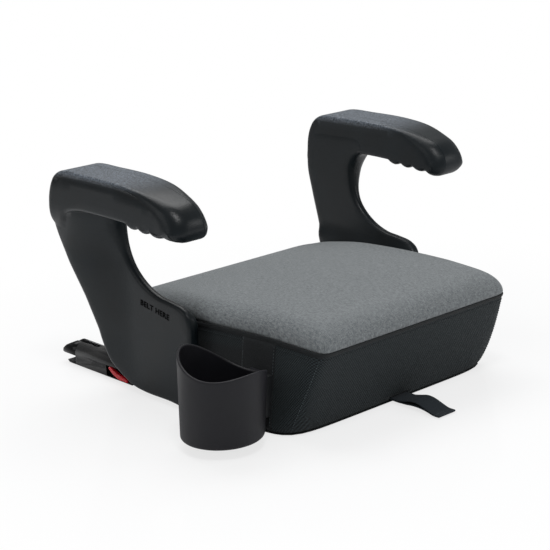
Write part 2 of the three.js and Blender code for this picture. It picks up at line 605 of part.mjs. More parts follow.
function adjusterFrame() {
  const depth = [ADJUSTER.y0, ADJUSTER.y1];
  const height = [WALL + GAP, ADJUSTER.height];
  const cheeks = [[frameX[0], frameX[0] + ADJUSTER.plate], [frameX[1] - ADJUSTER.plate, frameX[1]]];
  const bridge = block(frameX, [ADJUSTER.y1 - 3, ADJUSTER.y1], [STRAP.z + 2, ADJUSTER.height]);
  const holeX = [frameX[0] - 5, frameX[1] + 5];
  const hole = rodAlongX(ADJUSTER.pin + PIN_CLEARANCE, holeX, ADJUSTER.pinY, ADJUSTER.pinZ);
  return cheeks.reduce((frame, x) => frame.add(block(x, depth, height)), bridge).subtract(hole);
}

function adjusterCam() {
  const { pinY: y, pinZ: z } = ADJUSTER;
  const x = [STRAP.x - STRAP.width / 2 - 1, STRAP.x + STRAP.width / 2 + 1];
  const nose = STRAP.z + STRAP.thick / 2 + GAP + 0.2;
  const outline = [
    [y + CAM.hub, z - 1], [y + CAM.hub - 1, z + 3], [y, z + CAM.hub], [y - CAM.reach, z + CAM.lever - 1],
    [y - CAM.reach, z - 1], [y - 7, z - 2], [y - 3, nose], [y + 1, nose + 0.4],
  ];
  const bore = rodAlongX(ADJUSTER.pin + PIN_CLEARANCE, [x[0] - 5, x[1] + 5], y, z);
  return plateAcrossX(outline, x).subtract(bore);
}

place('adjuster_frame', adjusterFrame(), STEEL);
place('adjuster_cam', adjusterCam(), STEEL);
place('adjuster_pin', rodAlongX(ADJUSTER.pin, frameX, ADJUSTER.pinY, ADJUSTER.pinZ), STEEL);
place('adjuster_strap', strap(), WEBBING);

export default seat;
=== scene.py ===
# %% [markdown]
# # A backless booster seat
# The seat has a moulded base under a sewn cover, two armrests that hold the lap belt down, a cup holder
# that hangs on one side and a pair of connectors at the back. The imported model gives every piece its
# real size and place. It is loaded first, and everything below is built around it.

# %% Load the frame
import json
import math

import bmesh
import bpy
import numpy as np
from mathutils import Matrix, Vector
from mathutils.bvhtree import BVHTree
from mathutils.geometry import delaunay_2d_cdt

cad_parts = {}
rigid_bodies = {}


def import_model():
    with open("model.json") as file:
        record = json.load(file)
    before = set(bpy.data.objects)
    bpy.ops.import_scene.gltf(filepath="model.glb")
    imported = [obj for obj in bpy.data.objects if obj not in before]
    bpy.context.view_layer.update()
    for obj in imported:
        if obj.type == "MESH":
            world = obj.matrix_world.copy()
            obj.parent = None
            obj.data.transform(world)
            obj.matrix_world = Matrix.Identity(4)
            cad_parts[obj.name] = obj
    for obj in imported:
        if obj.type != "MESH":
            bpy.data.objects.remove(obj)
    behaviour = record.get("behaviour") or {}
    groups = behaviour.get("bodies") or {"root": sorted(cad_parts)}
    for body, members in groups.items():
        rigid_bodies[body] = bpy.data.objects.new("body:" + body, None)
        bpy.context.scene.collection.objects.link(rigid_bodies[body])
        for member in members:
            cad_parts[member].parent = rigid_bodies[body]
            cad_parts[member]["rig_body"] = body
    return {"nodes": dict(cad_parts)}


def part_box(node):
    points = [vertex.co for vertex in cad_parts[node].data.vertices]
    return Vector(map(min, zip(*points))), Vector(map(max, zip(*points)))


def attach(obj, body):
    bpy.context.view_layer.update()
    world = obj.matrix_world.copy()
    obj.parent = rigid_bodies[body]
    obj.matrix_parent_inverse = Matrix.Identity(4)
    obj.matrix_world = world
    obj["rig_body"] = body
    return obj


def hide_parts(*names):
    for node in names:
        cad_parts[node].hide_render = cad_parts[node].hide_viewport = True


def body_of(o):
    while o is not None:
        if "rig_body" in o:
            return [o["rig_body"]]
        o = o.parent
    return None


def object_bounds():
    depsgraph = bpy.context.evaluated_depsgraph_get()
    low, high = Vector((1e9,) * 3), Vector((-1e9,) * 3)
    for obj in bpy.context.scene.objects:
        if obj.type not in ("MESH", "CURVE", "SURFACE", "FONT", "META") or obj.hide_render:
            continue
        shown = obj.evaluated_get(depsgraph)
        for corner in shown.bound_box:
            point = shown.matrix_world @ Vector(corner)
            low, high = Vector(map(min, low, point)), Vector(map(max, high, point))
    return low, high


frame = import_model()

MM = 0.001
cad_low, cad_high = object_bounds()
print("frame:", len(frame["nodes"]), "nodes, from", [round(v, 3) for v in cad_low], "to",
      [round(v, 3) for v in cad_high])

# %% [markdown]
# ## Camera, light and floor
# A long lens keeps the seat's lines almost parallel. The camera stands to the seat's right, a little
# above it, and is turned a touch about its own axis. Light comes from a pale sky all round, one large
# soft lamp overhead, two weaker ones in front and to the side, and a small one that puts a gleam on the
# arms, so that colours come out about as they are written. The floor is white to the camera and still
# takes the seat's shadow and a faint reflection.

# %% Camera
AZIMUTH = math.radians(-41.5)
ELEVATION = math.radians(16.2)
DISTANCE = 1.711
CAMERA_TURN = math.radians(-2.5)
LENS = 103.3
target = Vector((-0.0212, 0.0194, 0.1115))
towards_camera = Vector((
    math.sin(AZIMUTH) * math.cos(ELEVATION), -math.cos(AZIMUTH) * math.cos(ELEVATION), math.sin(ELEVATION)))

camera = bpy.data.objects.new("camera", bpy.data.cameras.new("camera"))
bpy.context.scene.collection.objects.link(camera)
camera.data.lens = LENS
camera.data.sensor_width = 36
camera.data.clip_start = 0.05
camera.location = target + towards_camera * DISTANCE
looking = (-towards_camera).to_track_quat("-Z", "Y").to_matrix()
camera.rotation_euler = (looking @ Matrix.Rotation(CAMERA_TURN, 3, "Z")).to_euler()
bpy.context.scene.camera = camera
bpy.context.scene.view_settings.view_transform = "Standard"
print("camera", round(DISTANCE, 2), "m from the middle of the seat")


# %% Lamps
def area_lamp(name, place, size, watts):
    lamp = bpy.data.objects.new(name, bpy.data.lights.new(name, "AREA"))
    bpy.context.scene.collection.objects.link(lamp)
    lamp.data.shape = "RECTANGLE"
    lamp.data.size, lamp.data.size_y = size
    lamp.data.energy = watts
    lamp.location = place
    lamp.rotation_euler = (target - Vector(place)).to_track_quat("-Z", "Y").to_euler()
    return lamp


area_lamp("softbox_above", (0.25, 0.6, 1.5), (1.5, 1.0), 17)
area_lamp("softbox_front", (1.1, -1.4, 0.7), (0.8, 0.8), 6)
area_lamp("softbox_side", (-1.7, 0.5, 0.8), (0.7, 1.0), 3)
area_lamp("key", (-0.55, -0.72, 1.55), (0.3, 0.3), 9)
print("four soft lamps")


# %% Node helpers
def new_tree(material):
    """The material's empty node tree, with its Principled shader and output joined up."""
    material.use_nodes = True
    tree = material.node_tree
    tree.nodes.clear()
    output = tree.nodes.new("ShaderNodeOutputMaterial")
    shader = tree.nodes.new("ShaderNodeBsdfPrincipled")
    tree.links.new(shader.outputs[0], output.inputs["Surface"])
    return tree, shader


def feed(tree, socket, value):
    """Give an input its value, or link it where the value is another node's socket."""
    if isinstance(value, bpy.types.NodeSocket):
        tree.links.new(value, socket)
    else:
        socket.default_value = value


def add(tree, kind, inputs=None, **settings):
    """A node with its settings, and its inputs given as values or as sockets to link from."""
    node = tree.nodes.new(kind)
    for name, value in settings.items():
        setattr(node, name, value)
    for name, value in (inputs or {}).items():
        feed(tree, node.inputs[name], value)
    return node


def maths(tree, operation, *values):
    inputs = dict(enumerate(values))
    return add(tree, "ShaderNodeMath", inputs, operation=operation).outputs[0]


def mix_colour(tree, share, first, second):
    node = add(tree, "ShaderNodeMix", {"Factor": share}, data_type="RGBA")
    feed(tree, node.inputs[6], first)
    feed(tree, node.inputs[7], second)
    return node.outputs[2]


def ramp(tree, value, low, high):
    """value, stretched so that low becomes 0 and high becomes 1."""
    node = add(tree, "ShaderNodeMapRange", {"Value": value, "From Min": low, "From Max": high})
    return node.outputs[0]


def linear(code):
    """A colour written as six hex digits, as the shader wants it."""
    channels = [int(code[i:i + 2], 16) / 255 for i in (0, 2, 4)]
    return (*[c / 12.92 if c <= 0.04045 else ((c + 0.055) / 1.055) ** 2.4 for c in channels], 1)


# %% World and floor
WORLD_LEVEL = 0.36
world = bpy.data.worlds.new("studio")
bpy.context.scene.world = world
world.use_nodes = True
sky = world.node_tree
sky.nodes.clear()
rays = add(sky, "ShaderNodeLightPath").outputs
seen = maths(sky, "MAXIMUM", rays["Is Camera Ray"], rays["Is Transmission Ray"])
level = add(sky, "ShaderNodeMapRange", {"Value": seen, "To Min": WORLD_LEVEL, "To Max": 1.0}).outputs[0]
background = add(sky, "ShaderNodeBackground", {"Color": (1, 1, 1, 1), "Strength": level})
sky.links.new(background.outputs[0], add(sky, "ShaderNodeOutputWorld").inputs["Surface"])

floor_material = bpy.data.materials.new("floor")
floor_tree, floor_paint = new_tree(floor_material)
floor_paint.inputs["Base Color"].default_value = (0.93, 0.935, 0.945, 1)
floor_paint.inputs["Roughness"].default_value = 0.16
floor_paint.inputs["Specular IOR Level"].default_value = 0.6
NEAR_GLOW, NEAR_RADIUS, FAR_RADIUS = 0.74, 0.22, 0.62
glow = add(floor_tree, "ShaderNodeEmission", {"Color": (1, 1, 1, 1), "Strength": 1.0})
is_camera = add(floor_tree, "ShaderNodeLightPath").outputs["Is Camera Ray"]
floor_place = add(floor_tree, "ShaderNodeTexCoord").outputs["Object"]
radius = add(floor_tree, "ShaderNodeVectorMath", {0: floor_place}, operation="LENGTH").outputs["Value"]
clear = add(floor_tree, "ShaderNodeMapRange", {
    "Value": radius, "From Min": NEAR_RADIUS, "From Max": FAR_RADIUS, "To Min": NEAR_GLOW, "To Max": 1.0},
    interpolation_type="SMOOTHSTEP")
glowing = maths(floor_tree, "MULTIPLY", is_camera, clear.outputs[0])
blend = add(floor_tree, "ShaderNodeMixShader", {0: glowing})
floor_tree.links.new(floor_paint.outputs[0], blend.inputs[1])
floor_tree.links.new(glow.outputs[0], blend.inputs[2])
floor_output = next(n for n in floor_tree.nodes if n.type == "OUTPUT_MATERIAL")
floor_tree.links.new(blend.outputs[0], floor_output.inputs["Surface"])
bpy.ops.mesh.primitive_plane_add(size=30)
floor = bpy.context.object
floor.name = "floor"
floor.location.z = cad_low.z - 0.0002
floor.data.materials.append(floor_material)
print("floor at", round(floor.location.z * 1000, 2), "mm")

# %% [markdown]
# ## Effects that several finishes share
# A moulded part has a fine leathery grain, sharp edges that catch more light, and a little unevenness in
# how glossy it is. A woven fabric has threads that cross, and some of them are thicker or paler than
# others. Each effect is a node group that is built once. A group puts out only masks, values and heights,
# and each material feeds them into its own shader.


# %% Group builder
def effect_group(name, inputs, outputs):
    """An empty shader group: its tree, its input sockets by name and its output node."""
    tree = bpy.data.node_groups.new(name, "ShaderNodeTree")
    for label, value in inputs.items():
        kind = "NodeSocketVector" if value is None else "NodeSocketFloat"
        socket = tree.interface.new_socket(name=label, in_out="INPUT", socket_type=kind)
        if value is not None:
            socket.default_value = value
    for label in outputs:
        tree.interface.new_socket(name=label, in_out="OUTPUT", socket_type="NodeSocketFloat")
    return tree, tree.nodes.new("NodeGroupInput").outputs, tree.nodes.new("NodeGroupOutput")


def use_group(tree, group, **values):
    node = add(tree, "ShaderNodeGroup", node_tree=group)
    for label, value in values.items():
        feed(tree, node.inputs[label.replace("_", " ")], value)
    return node.outputs


# %% Moulded grain
moulded_grain, given, result = effect_group(
    "moulded_grain", {"Place": None, "Pebble mm": 0.8, "Blotch mm": 40.0}, ["Height", "Blotch"])
per_metre = maths(moulded_grain, "DIVIDE", 1000.0, given["Pebble mm"])
cells = add(moulded_grain, "ShaderNodeTexVoronoi", {"Vector": given["Place"], "Scale": per_metre},
            feature="SMOOTH_F1")
fuzz = add(moulded_grain, "ShaderNodeTexNoise", {
    "Vector": given["Place"], "Scale": maths(moulded_grain, "MULTIPLY", per_metre, 0.7), "Detail": 3.0})
height = maths(moulded_grain, "ADD", maths(moulded_grain, "MULTIPLY", cells.outputs["Distance"], 0.8),
               maths(moulded_grain, "MULTIPLY", fuzz.outputs["Fac"], 0.6))
moulded_grain.links.new(height, result.inputs["Height"])
clouds = add(moulded_grain, "ShaderNodeTexNoise", {
    "Vector": given["Place"], "Scale": maths(moulded_grain, "DIVIDE", 1000.0, given["Blotch mm"]),
    "Detail": 4.0})
moulded_grain.links.new(ramp(moulded_grain, clouds.outputs["Fac"], 0.35, 0.65), result.inputs["Blotch"])
print("group moulded_grain")

# %% Edge highlight, painted
edge_highlight, given, result = effect_group(
    "edge_highlight", {"Low": 0.52, "High": 0.6}, ["Worn"])
# Sharp edges are found by their pointiness and give a mask that paints them paler: a painted highlight where
# they catch the light.
pointiness = add(edge_highlight, "ShaderNodeNewGeometry").outputs["Pointiness"]
painted_edge_light = add(edge_highlight, "ShaderNodeMapRange", {
    "Value": pointiness, "From Min": given["Low"], "From Max": given["High"]})
edge_highlight.links.new(painted_edge_light.outputs[0], result.inputs["Worn"])
print("group edge_highlight")

# %% Woven threads
woven_threads, given, result = effect_group("woven_threads", {
    "Place": None, "Thread mm": 0.9, "Slub mm": 8.0, "Slub width mm": 1.4}, ["Height", "Slub", "Melange"])
apart = add(woven_threads, "ShaderNodeSeparateXYZ", {0: given["Place"]}).outputs
turns = maths(woven_threads, "DIVIDE", 2000 * math.pi, given["Thread mm"])
across = maths(woven_threads, "SINE", maths(woven_threads, "MULTIPLY", apart[0], turns))
along = maths(woven_threads, "SINE", maths(woven_threads, "MULTIPLY", apart[1], turns))
weave = maths(woven_threads, "MULTIPLY", across, along)
woven_threads.links.new(weave, result.inputs["Height"])


def slub_noise(tree, place, across_mm, along_mm, seed_shift):
    """Noise in short streaks that run along Y."""
    scale = add(tree, "ShaderNodeCombineXYZ", {
        0: maths(tree, "DIVIDE", 1000.0, across_mm), 1: maths(tree, "DIVIDE", 1000.0, along_mm),
        2: maths(tree, "DIVIDE", 1000.0, along_mm)})
    stretched = add(tree, "ShaderNodeVectorMath", {0: place, 1: scale.outputs[0]}, operation="MULTIPLY")
    moved = add(tree, "ShaderNodeVectorMath", {0: stretched.outputs[0], 1: (seed_shift,) * 3},
                operation="ADD")
    return add(tree, "ShaderNodeTexNoise", {
        "Vector": moved.outputs[0], "Scale": 1.0, "Detail": 2.0, "Roughness": 0.6}).outputs["Fac"]


streaks = slub_noise(woven_threads, given["Place"], given["Slub width mm"], given["Slub mm"], 3.7)
woven_threads.links.new(ramp(woven_threads, streaks, 0.3, 0.7), result.inputs["Slub"])
fine = slub_noise(woven_threads, given["Place"], given["Thread mm"], given["Slub width mm"], 11.2)
woven_threads.links.new(ramp(woven_threads, fine, 0.25, 0.75), result.inputs["Melange"])
print("group woven_threads")

# %% [markdown]
# ## The finishes
# Each finish is a function that returns one material. Patterns on hard parts read Object coordinates,
# because every finished piece stands at the origin. Cloth that is bent round the body reads its own
# unrolled map instead, which is measured in metres along the cloth.


# %% Shader helpers
def bump(tree, shader, height, strength, distance_mm):
    node = add(tree, "ShaderNodeBump", {
        "Height": height, "Strength": strength, "Distance": distance_mm * MM})
    tree.links.new(node.outputs[0], shader.inputs["Normal"])


def object_place(tree):
    return add(tree, "ShaderNodeTexCoord").outputs["Object"]


def unrolled_place(tree):
    return add(tree, "ShaderNodeUVMap", uv_map="unrolled").outputs[0]


def set_shader(shader, **values):
    for label, value in values.items():
        shader.inputs[label.replace("_", " ")].default_value = value


# %% Plastics, rubber and steel
def moulded_plastic(name, dark, light, roughness, pebble_mm, strength, specular=0.45, pebbled_and_lit_top=False):
    """Moulded plastic. For a pebbled top it adds the deep pebbled grain where the piece's own mask says so,
    and there also paints light from above: a paler top and painted highlights on the pebbles.
    """
    material = bpy.data.materials.new(name)
    tree, shader = new_tree(material)
    grain = use_group(tree, moulded_grain, Place=object_place(tree), Pebble_mm=pebble_mm, Blotch_mm=60.0)
    painted_edge_light = use_group(tree, edge_highlight)["Worn"]
    base = mix_colour(tree, grain["Blotch"], linear(dark), linear(light))
    # Painted highlight: with this mask the sharp edges are painted paler, where they would catch the light.
    rim = [min(1, 1.7 * c) for c in linear(light)[:3]] + [1]
    base = mix_colour(tree, maths(tree, "MULTIPLY", painted_edge_light, 0.35), base, rim)
    height, depth = grain["Height"], 0.12
    if pebbled_and_lit_top:
        # This mask marks where the pebbled grain goes and where light from above is painted on the top.
        top = add(tree, "ShaderNodeAttribute", attribute_name="coarse_grain_and_top_light").outputs["Fac"]
        coarse_grain_and_top_light = use_group(tree, moulded_grain, Place=object_place(tree), Pebble_mm=1.5, Blotch_mm=9.0)
        height = maths(tree, "ADD", height, maths(
            tree, "MULTIPLY", maths(tree, "MULTIPLY", coarse_grain_and_top_light["Height"], top), 6.0))
        # Painted light from above: the pebbles' raised tops get a pale painted highlight, and the whole
        # masked top is painted paler.
        painted_pebble_highlight = ramp(tree, coarse_grain_and_top_light["Height"], 0.35, 0.85)
        painted_top_light = mix_colour(tree, painted_pebble_highlight, linear("1c2125"), linear("78808a"))
        base = mix_colour(tree, maths(tree, "MULTIPLY", top, 0.8), base, painted_top_light)
    tree.links.new(base, shader.inputs["Base Color"])
    rough = add(tree, "ShaderNodeMapRange", {
        "Value": grain["Blotch"], "To Min": roughness - 0.05, "To Max": roughness + 0.05})
    tree.links.new(rough.outputs[0], shader.inputs["Roughness"])
    set_shader(shader, Specular_IOR_Level=specular)
    bump(tree, shader, height, strength, depth)
    return material


def plated_steel(name, tone, roughness):
    material = bpy.data.materials.new(name)
    tree, shader = new_tree(material)
    place = object_place(tree)
    brushed = slub_noise(tree, place, 0.25, 12.0, 0.4)
    base = mix_colour(tree, brushed, linear(tone), [0.8 * c for c in linear(tone)[:3]] + [1])
    tree.links.new(base, shader.inputs["Base Color"])
    rough = add(tree, "ShaderNodeMapRange", {
        "Value": brushed, "To Min": roughness - 0.08, "To Max": roughness + 0.12})
    tree.links.new(rough.outputs[0], shader.inputs["Roughness"])
    set_shader(shader, Metallic=1.0)
    bump(tree, shader, brushed, 0.2, 0.03)
    return material


base_plastic = moulded_plastic("base_plastic", "131517", "1a1d1f", 0.55, 0.7, 0.4)
armrest_plastic = moulded_plastic(
    "armrest_plastic", "0a1013", "12191d", 0.36, 1.0, 0.9, specular=0.24, pebbled_and_lit_top=True)
cup_plastic = moulded_plastic("cup_plastic", "131317", "1a1a1f", 0.48, 0.35, 0.16, specular=0.28)
latch_plastic = moulded_plastic("latch_plastic", "040405", "08090a", 0.2, 0.5, 0.1, specular=0.2)
red_plastic = moulded_plastic("red_plastic", "b00f1c", "c81626", 0.35, 0.5, 0.1, specular=0.5)
foot_rubber = moulded_plastic("foot_rubber", "141516", "1b1c1d", 0.85, 1.1, 0.5, specular=0.2)
steel = plated_steel("plated_steel", "c4c7ca", 0.28)
print("plastics, rubber and steel")


# %% Fabrics
def heather_fabric(name):
    """The grey top: fine weave with short pale and dark streaks that run front to back."""
    material = bpy.data.materials.new(name)
    tree, shader = new_tree(material)
    place = object_place(tree)
    cloth = use_group(tree, woven_threads, Place=place, Thread_mm=1.1, Slub_mm=4.6, Slub_width_mm=0.55)
    turned = add(tree, "ShaderNodeVectorRotate", {"Vector": place, "Angle": math.pi / 2},
                 rotation_type="Z_AXIS").outputs[0]
    weft = use_group(tree, woven_threads, Place=turned, Thread_mm=1.1, Slub_mm=3.4, Slub_width_mm=0.5)
    base = mix_colour(tree, cloth["Slub"], linear("3b4044"), linear("999e9f"))
    other = mix_colour(tree, weft["Slub"], linear("3e4347"), linear("8a8f91"))
    base = mix_colour(tree, ramp(tree, cloth["Height"], -0.6, 0.6), base, other)
    base = mix_colour(tree, maths(tree, "MULTIPLY", cloth["Melange"], 0.3), base, linear("666b6e"))
    tree.links.new(base, shader.inputs["Base Color"])
    set_shader(shader, Roughness=0.92, Specular_IOR_Level=0.15, Sheen_Weight=0.18, Sheen_Roughness=0.5)
    bump(tree, shader, cloth["Height"], 0.5, 0.25)
    return material


def mesh_fabric(name):
    """Black spacer mesh: rows of small open cells, each row shifted by half a cell."""
    CELL_WIDE, CELL_HIGH = 2.6, 1.5
    material = bpy.data.materials.new(name)
    tree, shader = new_tree(material)
    place = unrolled_place(tree)
    apart = add(tree, "ShaderNodeSeparateXYZ", {0: place}).outputs
    wide = maths(tree, "COSINE", maths(tree, "MULTIPLY", apart[0], 2000 * math.pi / CELL_WIDE))
    high = maths(tree, "COSINE", maths(tree, "MULTIPLY", apart[1], 1000 * math.pi / CELL_HIGH))
    cell = maths(tree, "MULTIPLY", wide, high)
    open_mesh = add(tree, "ShaderNodeAttribute", attribute_name="open_mesh").outputs["Fac"]
    cloth = use_group(tree, woven_threads, Place=place, Thread_mm=0.8, Slub_mm=14.0, Slub_width_mm=3.0)
    thread = mix_colour(tree, ramp(tree, cell, -0.5, 0.6), linear("06080a"), linear("2d3639"))
    plain = mix_colour(tree, cloth["Melange"], linear("17191b"), linear("1e2123"))
    base = mix_colour(tree, open_mesh, plain, thread)
    tree.links.new(base, shader.inputs["Base Color"])
    set_shader(shader, Roughness=0.8, Specular_IOR_Level=0.2, Sheen_Weight=0.06, Sheen_Roughness=0.5)
    lift = maths(tree, "MULTIPLY", maths(tree, "MULTIPLY", cell, open_mesh), 3.0)
    bump(tree, shader, maths(tree, "ADD", lift, cloth["Height"]), 0.5, 0.15)
    return material


def tape_fabric(name, dark, light, thread_mm, strength):
    """Narrow woven goods, such as binding tape and webbing: thick threads across, fine ones along."""
    material = bpy.data.materials.new(name)
    tree, shader = new_tree(material)
    cloth = use_group(tree, woven_threads, Place=unrolled_place(tree), Thread_mm=thread_mm, Slub_mm=6.0,
                      Slub_width_mm=thread_mm)
    base = mix_colour(tree, ramp(tree, cloth["Height"], -0.8, 0.8), linear(dark), linear(light))
    base = mix_colour(tree, maths(tree, "MULTIPLY", cloth["Slub"], 0.3), base, linear(light))
    tree.links.new(base, shader.inputs["Base Color"])
    set_shader(shader, Roughness=0.75, Specular_IOR_Level=0.25, Sheen_Weight=0.05)
    bump(tree, shader, cloth["Height"], strength, 0.2)
    return material


def thread_material(name, tone):
    material = bpy.data.materials.new(name)
    tree, shader = new_tree(material)
    twist = slub_noise(tree, object_place(tree), 0.3, 0.8, 5.0)
    base = mix_colour(tree, twist, linear(tone), [0.6 * c for c in linear(tone)[:3]] + [1])
    tree.links.new(base, shader.inputs["Base Color"])
    set_shader(shader, Roughness=0.6, Specular_IOR_Level=0.3)
    bump(tree, shader, twist, 0.3, 0.1)
    return material


seat_fabric = heather_fabric("heather_grey_fabric")
side_fabric = mesh_fabric("black_spacer_mesh")
binding_tape = tape_fabric("binding_tape", "0b0d0f", "1a1e20", 1.0, 0.35)
webbing = tape_fabric("webbing", "12171b", "272f36", 1.5, 0.7)
black_thread = thread_material("black_thread", "2a3033")
pale_thread = thread_material("pale_thread", "4e575a")
ink_material = moulded_plastic("print_ink", "020203", "030304", 0.6, 0.5, 0.05, specular=0.05)
print("fabrics, threads and ink")

# %% [markdown]
# ## Building blocks for the shapes
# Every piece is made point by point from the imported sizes, in millimetres, and turned into metres only
# when its mesh is written. The soft pieces share one description of the cushion's outline at each height.
# That outline runs from the sill just above the seat plane to the seam under the top panel.

# %% Small maths


def mm_box(name):
    """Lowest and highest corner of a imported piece, in millimetres."""
    low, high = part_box(name)
    return Vector(low) * 1000, Vector(high) * 1000


def mix(a, b, t):
    return a + (b - a) * t


def clamp(v, low=0.0, high=1.0):
    return max(low, min(high, v))


def smooth_step(low, high, v):
    t = clamp((v - low) / (high - low))
    return t * t * (3 - 2 * t)


def bulge(v, squareness):
    return math.copysign(abs(v) ** (2 / squareness), v)


def look_up(table, z):
    """The value at z in a table of (z, value), by straight lines."""
    heights, values = zip(*table)
    return float(np.interp(z, heights, values))


def mesh_object(name, points, faces, material=None, smooth=True, merge=0.0):
    """A closed object from millimetre points, with its faces turned outwards."""
    data = bpy.data.meshes.new(name)
    data.from_pydata([tuple(c * MM for c in p) for p in points], [], faces)
    thing = bpy.data.objects.new(name, data)
    bpy.context.scene.collection.objects.link(thing)
    tidy_mesh(thing, smooth, merge)
    if material:
        data.materials.append(material)
    return thing


def tidy_mesh(thing, smooth=True, merge=0.0):
    work = bmesh.new()
    work.from_mesh(thing.data)
    if merge:
        bmesh.ops.remove_doubles(work, verts=work.verts, dist=merge * MM)
    bmesh.ops.recalc_face_normals(work, faces=work.faces)
    work.to_mesh(thing.data)
    work.free()
    thing.data.polygons.foreach_set("use_smooth", [smooth] * len(thing.data.polygons))
    thing.data.update()


def apply_modifiers(thing):
    """The object's mesh with its modifiers worked in."""
    graph = bpy.context.evaluated_depsgraph_get()
    baked = bpy.data.meshes.new_from_object(thing.evaluated_get(graph), depsgraph=graph)
    old = thing.data
    thing.modifiers.clear()
    thing.data = baked
    baked.name = thing.name
    bpy.data.meshes.remove(old)


def modify(thing, kind, **settings):
    modifier = thing.modifiers.new(kind.lower(), kind)
    for name, value in settings.items():
        setattr(modifier, name, value)
    apply_modifiers(thing)


def boolean(thing, operation, other):
    """Join, cut or cross one closed object with another, which is used up."""
    modify(thing, "BOOLEAN", operation=operation, object=other, solver="EXACT")
    discard(other)


def discard(thing):
    data = thing.data
    bpy.data.objects.remove(thing)
    bpy.data.meshes.remove(data)


def block(low, high, name="block"):
    corners = [(x, y, z) for x in (low[0], high[0]) for y in (low[1], high[1]) for z in (low[2], high[2])]
    faces = [(0, 1, 3, 2), (4, 6, 7, 5), (0, 4, 5, 1), (2, 3, 7, 6), (0, 2, 6, 4), (1, 5, 7, 3)]
    return mesh_object(name, corners, faces, smooth=False)


def loft(name, rings, material=None, closed=False):
    """Skin a list of equally long rings of points, with lids or joined end to end."""
    count = len(rings[0])
    points = [p for ring in rings for p in ring]
    faces = []
    for r in range(len(rings) if closed else len(rings) - 1):
        a, b = r * count, (r + 1) % len(rings) * count
        faces += [(a + i, a + (i + 1) % count, b + (i + 1) % count, b + i) for i in range(count)]
    if not closed:
        faces.append(tuple(range(count)))
        faces.append(tuple(range(len(points) - count, len(points))))
    return mesh_object(name, points, faces, material)


def grid_rim(rows, columns):
    """Indices of the points round the edge of a grid, in order."""
    rim = list(range(columns)) + [r * columns + columns - 1 for r in range(1, rows)]
    rim += [(rows - 1) * columns + c for c in range(columns - 2, -1, -1)]
    return rim + [r * columns for r in range(rows - 2, 0, -1)]


def wall_between(first, second):
    """The faces between two loops of as many points."""
    count = len(first)
    return [(first[i], first[(i + 1) % count], second[(i + 1) % count], second[i]) for i in range(count)]


def finish(thing, slot, replaces=(), body="base"):
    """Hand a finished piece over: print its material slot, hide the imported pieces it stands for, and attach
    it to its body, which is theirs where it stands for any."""
    if replaces:
        body = body_of(frame["nodes"][replaces[0]])[0]
        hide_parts(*replaces)
    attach(thing, body)
    print(f"{thing.name}: {len(thing.data.polygons)} faces, slot {slot}")
    return thing


# %% The cushion's outline
_, side_high = mm_box("cover_side")
foam_low, _ = mm_box("seat_foam")
SIDE = round(side_high.x + 1.3)
SILL = {"z": 2.6, "front": -138, "rear": 128, "half_front": SIDE - 5, "half_rear": SIDE}
SEAM = {"z": 96, "front": -174.5, "rear": 146, "half_front": SIDE - 22, "half_rear": SIDE}
CORNERS = (9, 34)


def seam_z(y):
    return SEAM["z"] - 0.0003 * (y + 60) ** 2


def outline_point(angle, share, inset=0.0):
    """A point of the outline a share of the way from sill to seam. The angle runs once round."""
    size = {k: mix(SILL[k], SEAM[k], share) for k in SILL}
    square = mix(*CORNERS, share)
    forward = (bulge(math.sin(angle), square) + 1) / 2
    half = mix(size["half_front"], size["half_rear"], forward) - inset
    return (bulge(math.cos(angle), square) * half,
            mix(size["front"] + inset, size["rear"] - inset, forward))


def outline_angles(count):
    """Angles round the outline, starting at the rear, spaced evenly along its length, and the length round."""
    fine = np.linspace(math.pi / 2, math.pi / 2 + 2 * math.pi, 5761)
    path = np.array([outline_point(a, 1.0) for a in fine])
    travelled = np.concatenate([[0], np.cumsum(np.linalg.norm(np.diff(path, axis=0), axis=1))])
    wanted = np.linspace(0, travelled[-1], count, endpoint=False)
    return [float(a) for a in np.interp(wanted, travelled, fine)], float(travelled[-1])


seam_angles, seam_length = outline_angles(400)
print("half width", SIDE, "mm, seam", round(seam_length), "mm round")

# %% [markdown]
# ## Seat cushion
# A foam pad with a heather-grey woven top pulled over it. On the real seat the top panel is cut flat,
# sewn to the side band and stretched over the foam, so it stands in a low crown with a crisp edge all
# round, lower at the rear and rounder in its two rear corners. The pad is made as a grid that fits the
# outline, and a short cloth simulation with some air behind it draws the fabric tight. The seam and the
# underside are pinned, and the movement is small.

# %% Cushion mesh
CROWN = 23  # how far the padded top stands over its seam at the front, mm
CROWN_FADE = 0.03  # what it loses of that for each mm towards the rear
CROWN_REAR_DROP = 6
CROWN_RISE = 0.025  # the gentle rise from its rounded edge to the middle
CROWN_EDGE = 27
REAR_ROUND = 46
BINDING_HALF = 1.7


def crown_height(y, inset):
    fade = CROWN_FADE * max(0, y + 100) + CROWN_REAR_DROP * smooth_step(30, 146, y)
    t = min(1, inset / CROWN_EDGE)
    return (CROWN - fade) * math.sqrt(1 - (1 - t) ** 2) + CROWN_RISE * max(0, inset - CROWN_EDGE)


def cushion_point(u, v, lift):
    """A point of the top, where u and v run from -1 to 1 across a square grid."""
    m = max(abs(u), abs(v))
    reach = 1.0
    if m:
        square = CORNERS[1]
        reach = (abs(u / m) ** square + abs(v / m) ** square) ** (-1 / square)
    forward = (v * reach + 1) / 2
    half = mix(SEAM["half_front"], SEAM["half_rear"], forward)
    y = mix(SEAM["front"], SEAM["rear"], forward)
    across, along = ((1 - abs(t)) * SIDE for t in (u, v))
    inset = min(across, along)
    if v > 0 and max(across, along) < REAR_ROUND:
        inset = max(0, REAR_ROUND - math.hypot(REAR_ROUND - across, REAR_ROUND - along))
    return Vector((u * reach * half, y, seam_z(y) + lift + crown_height(y, inset)))


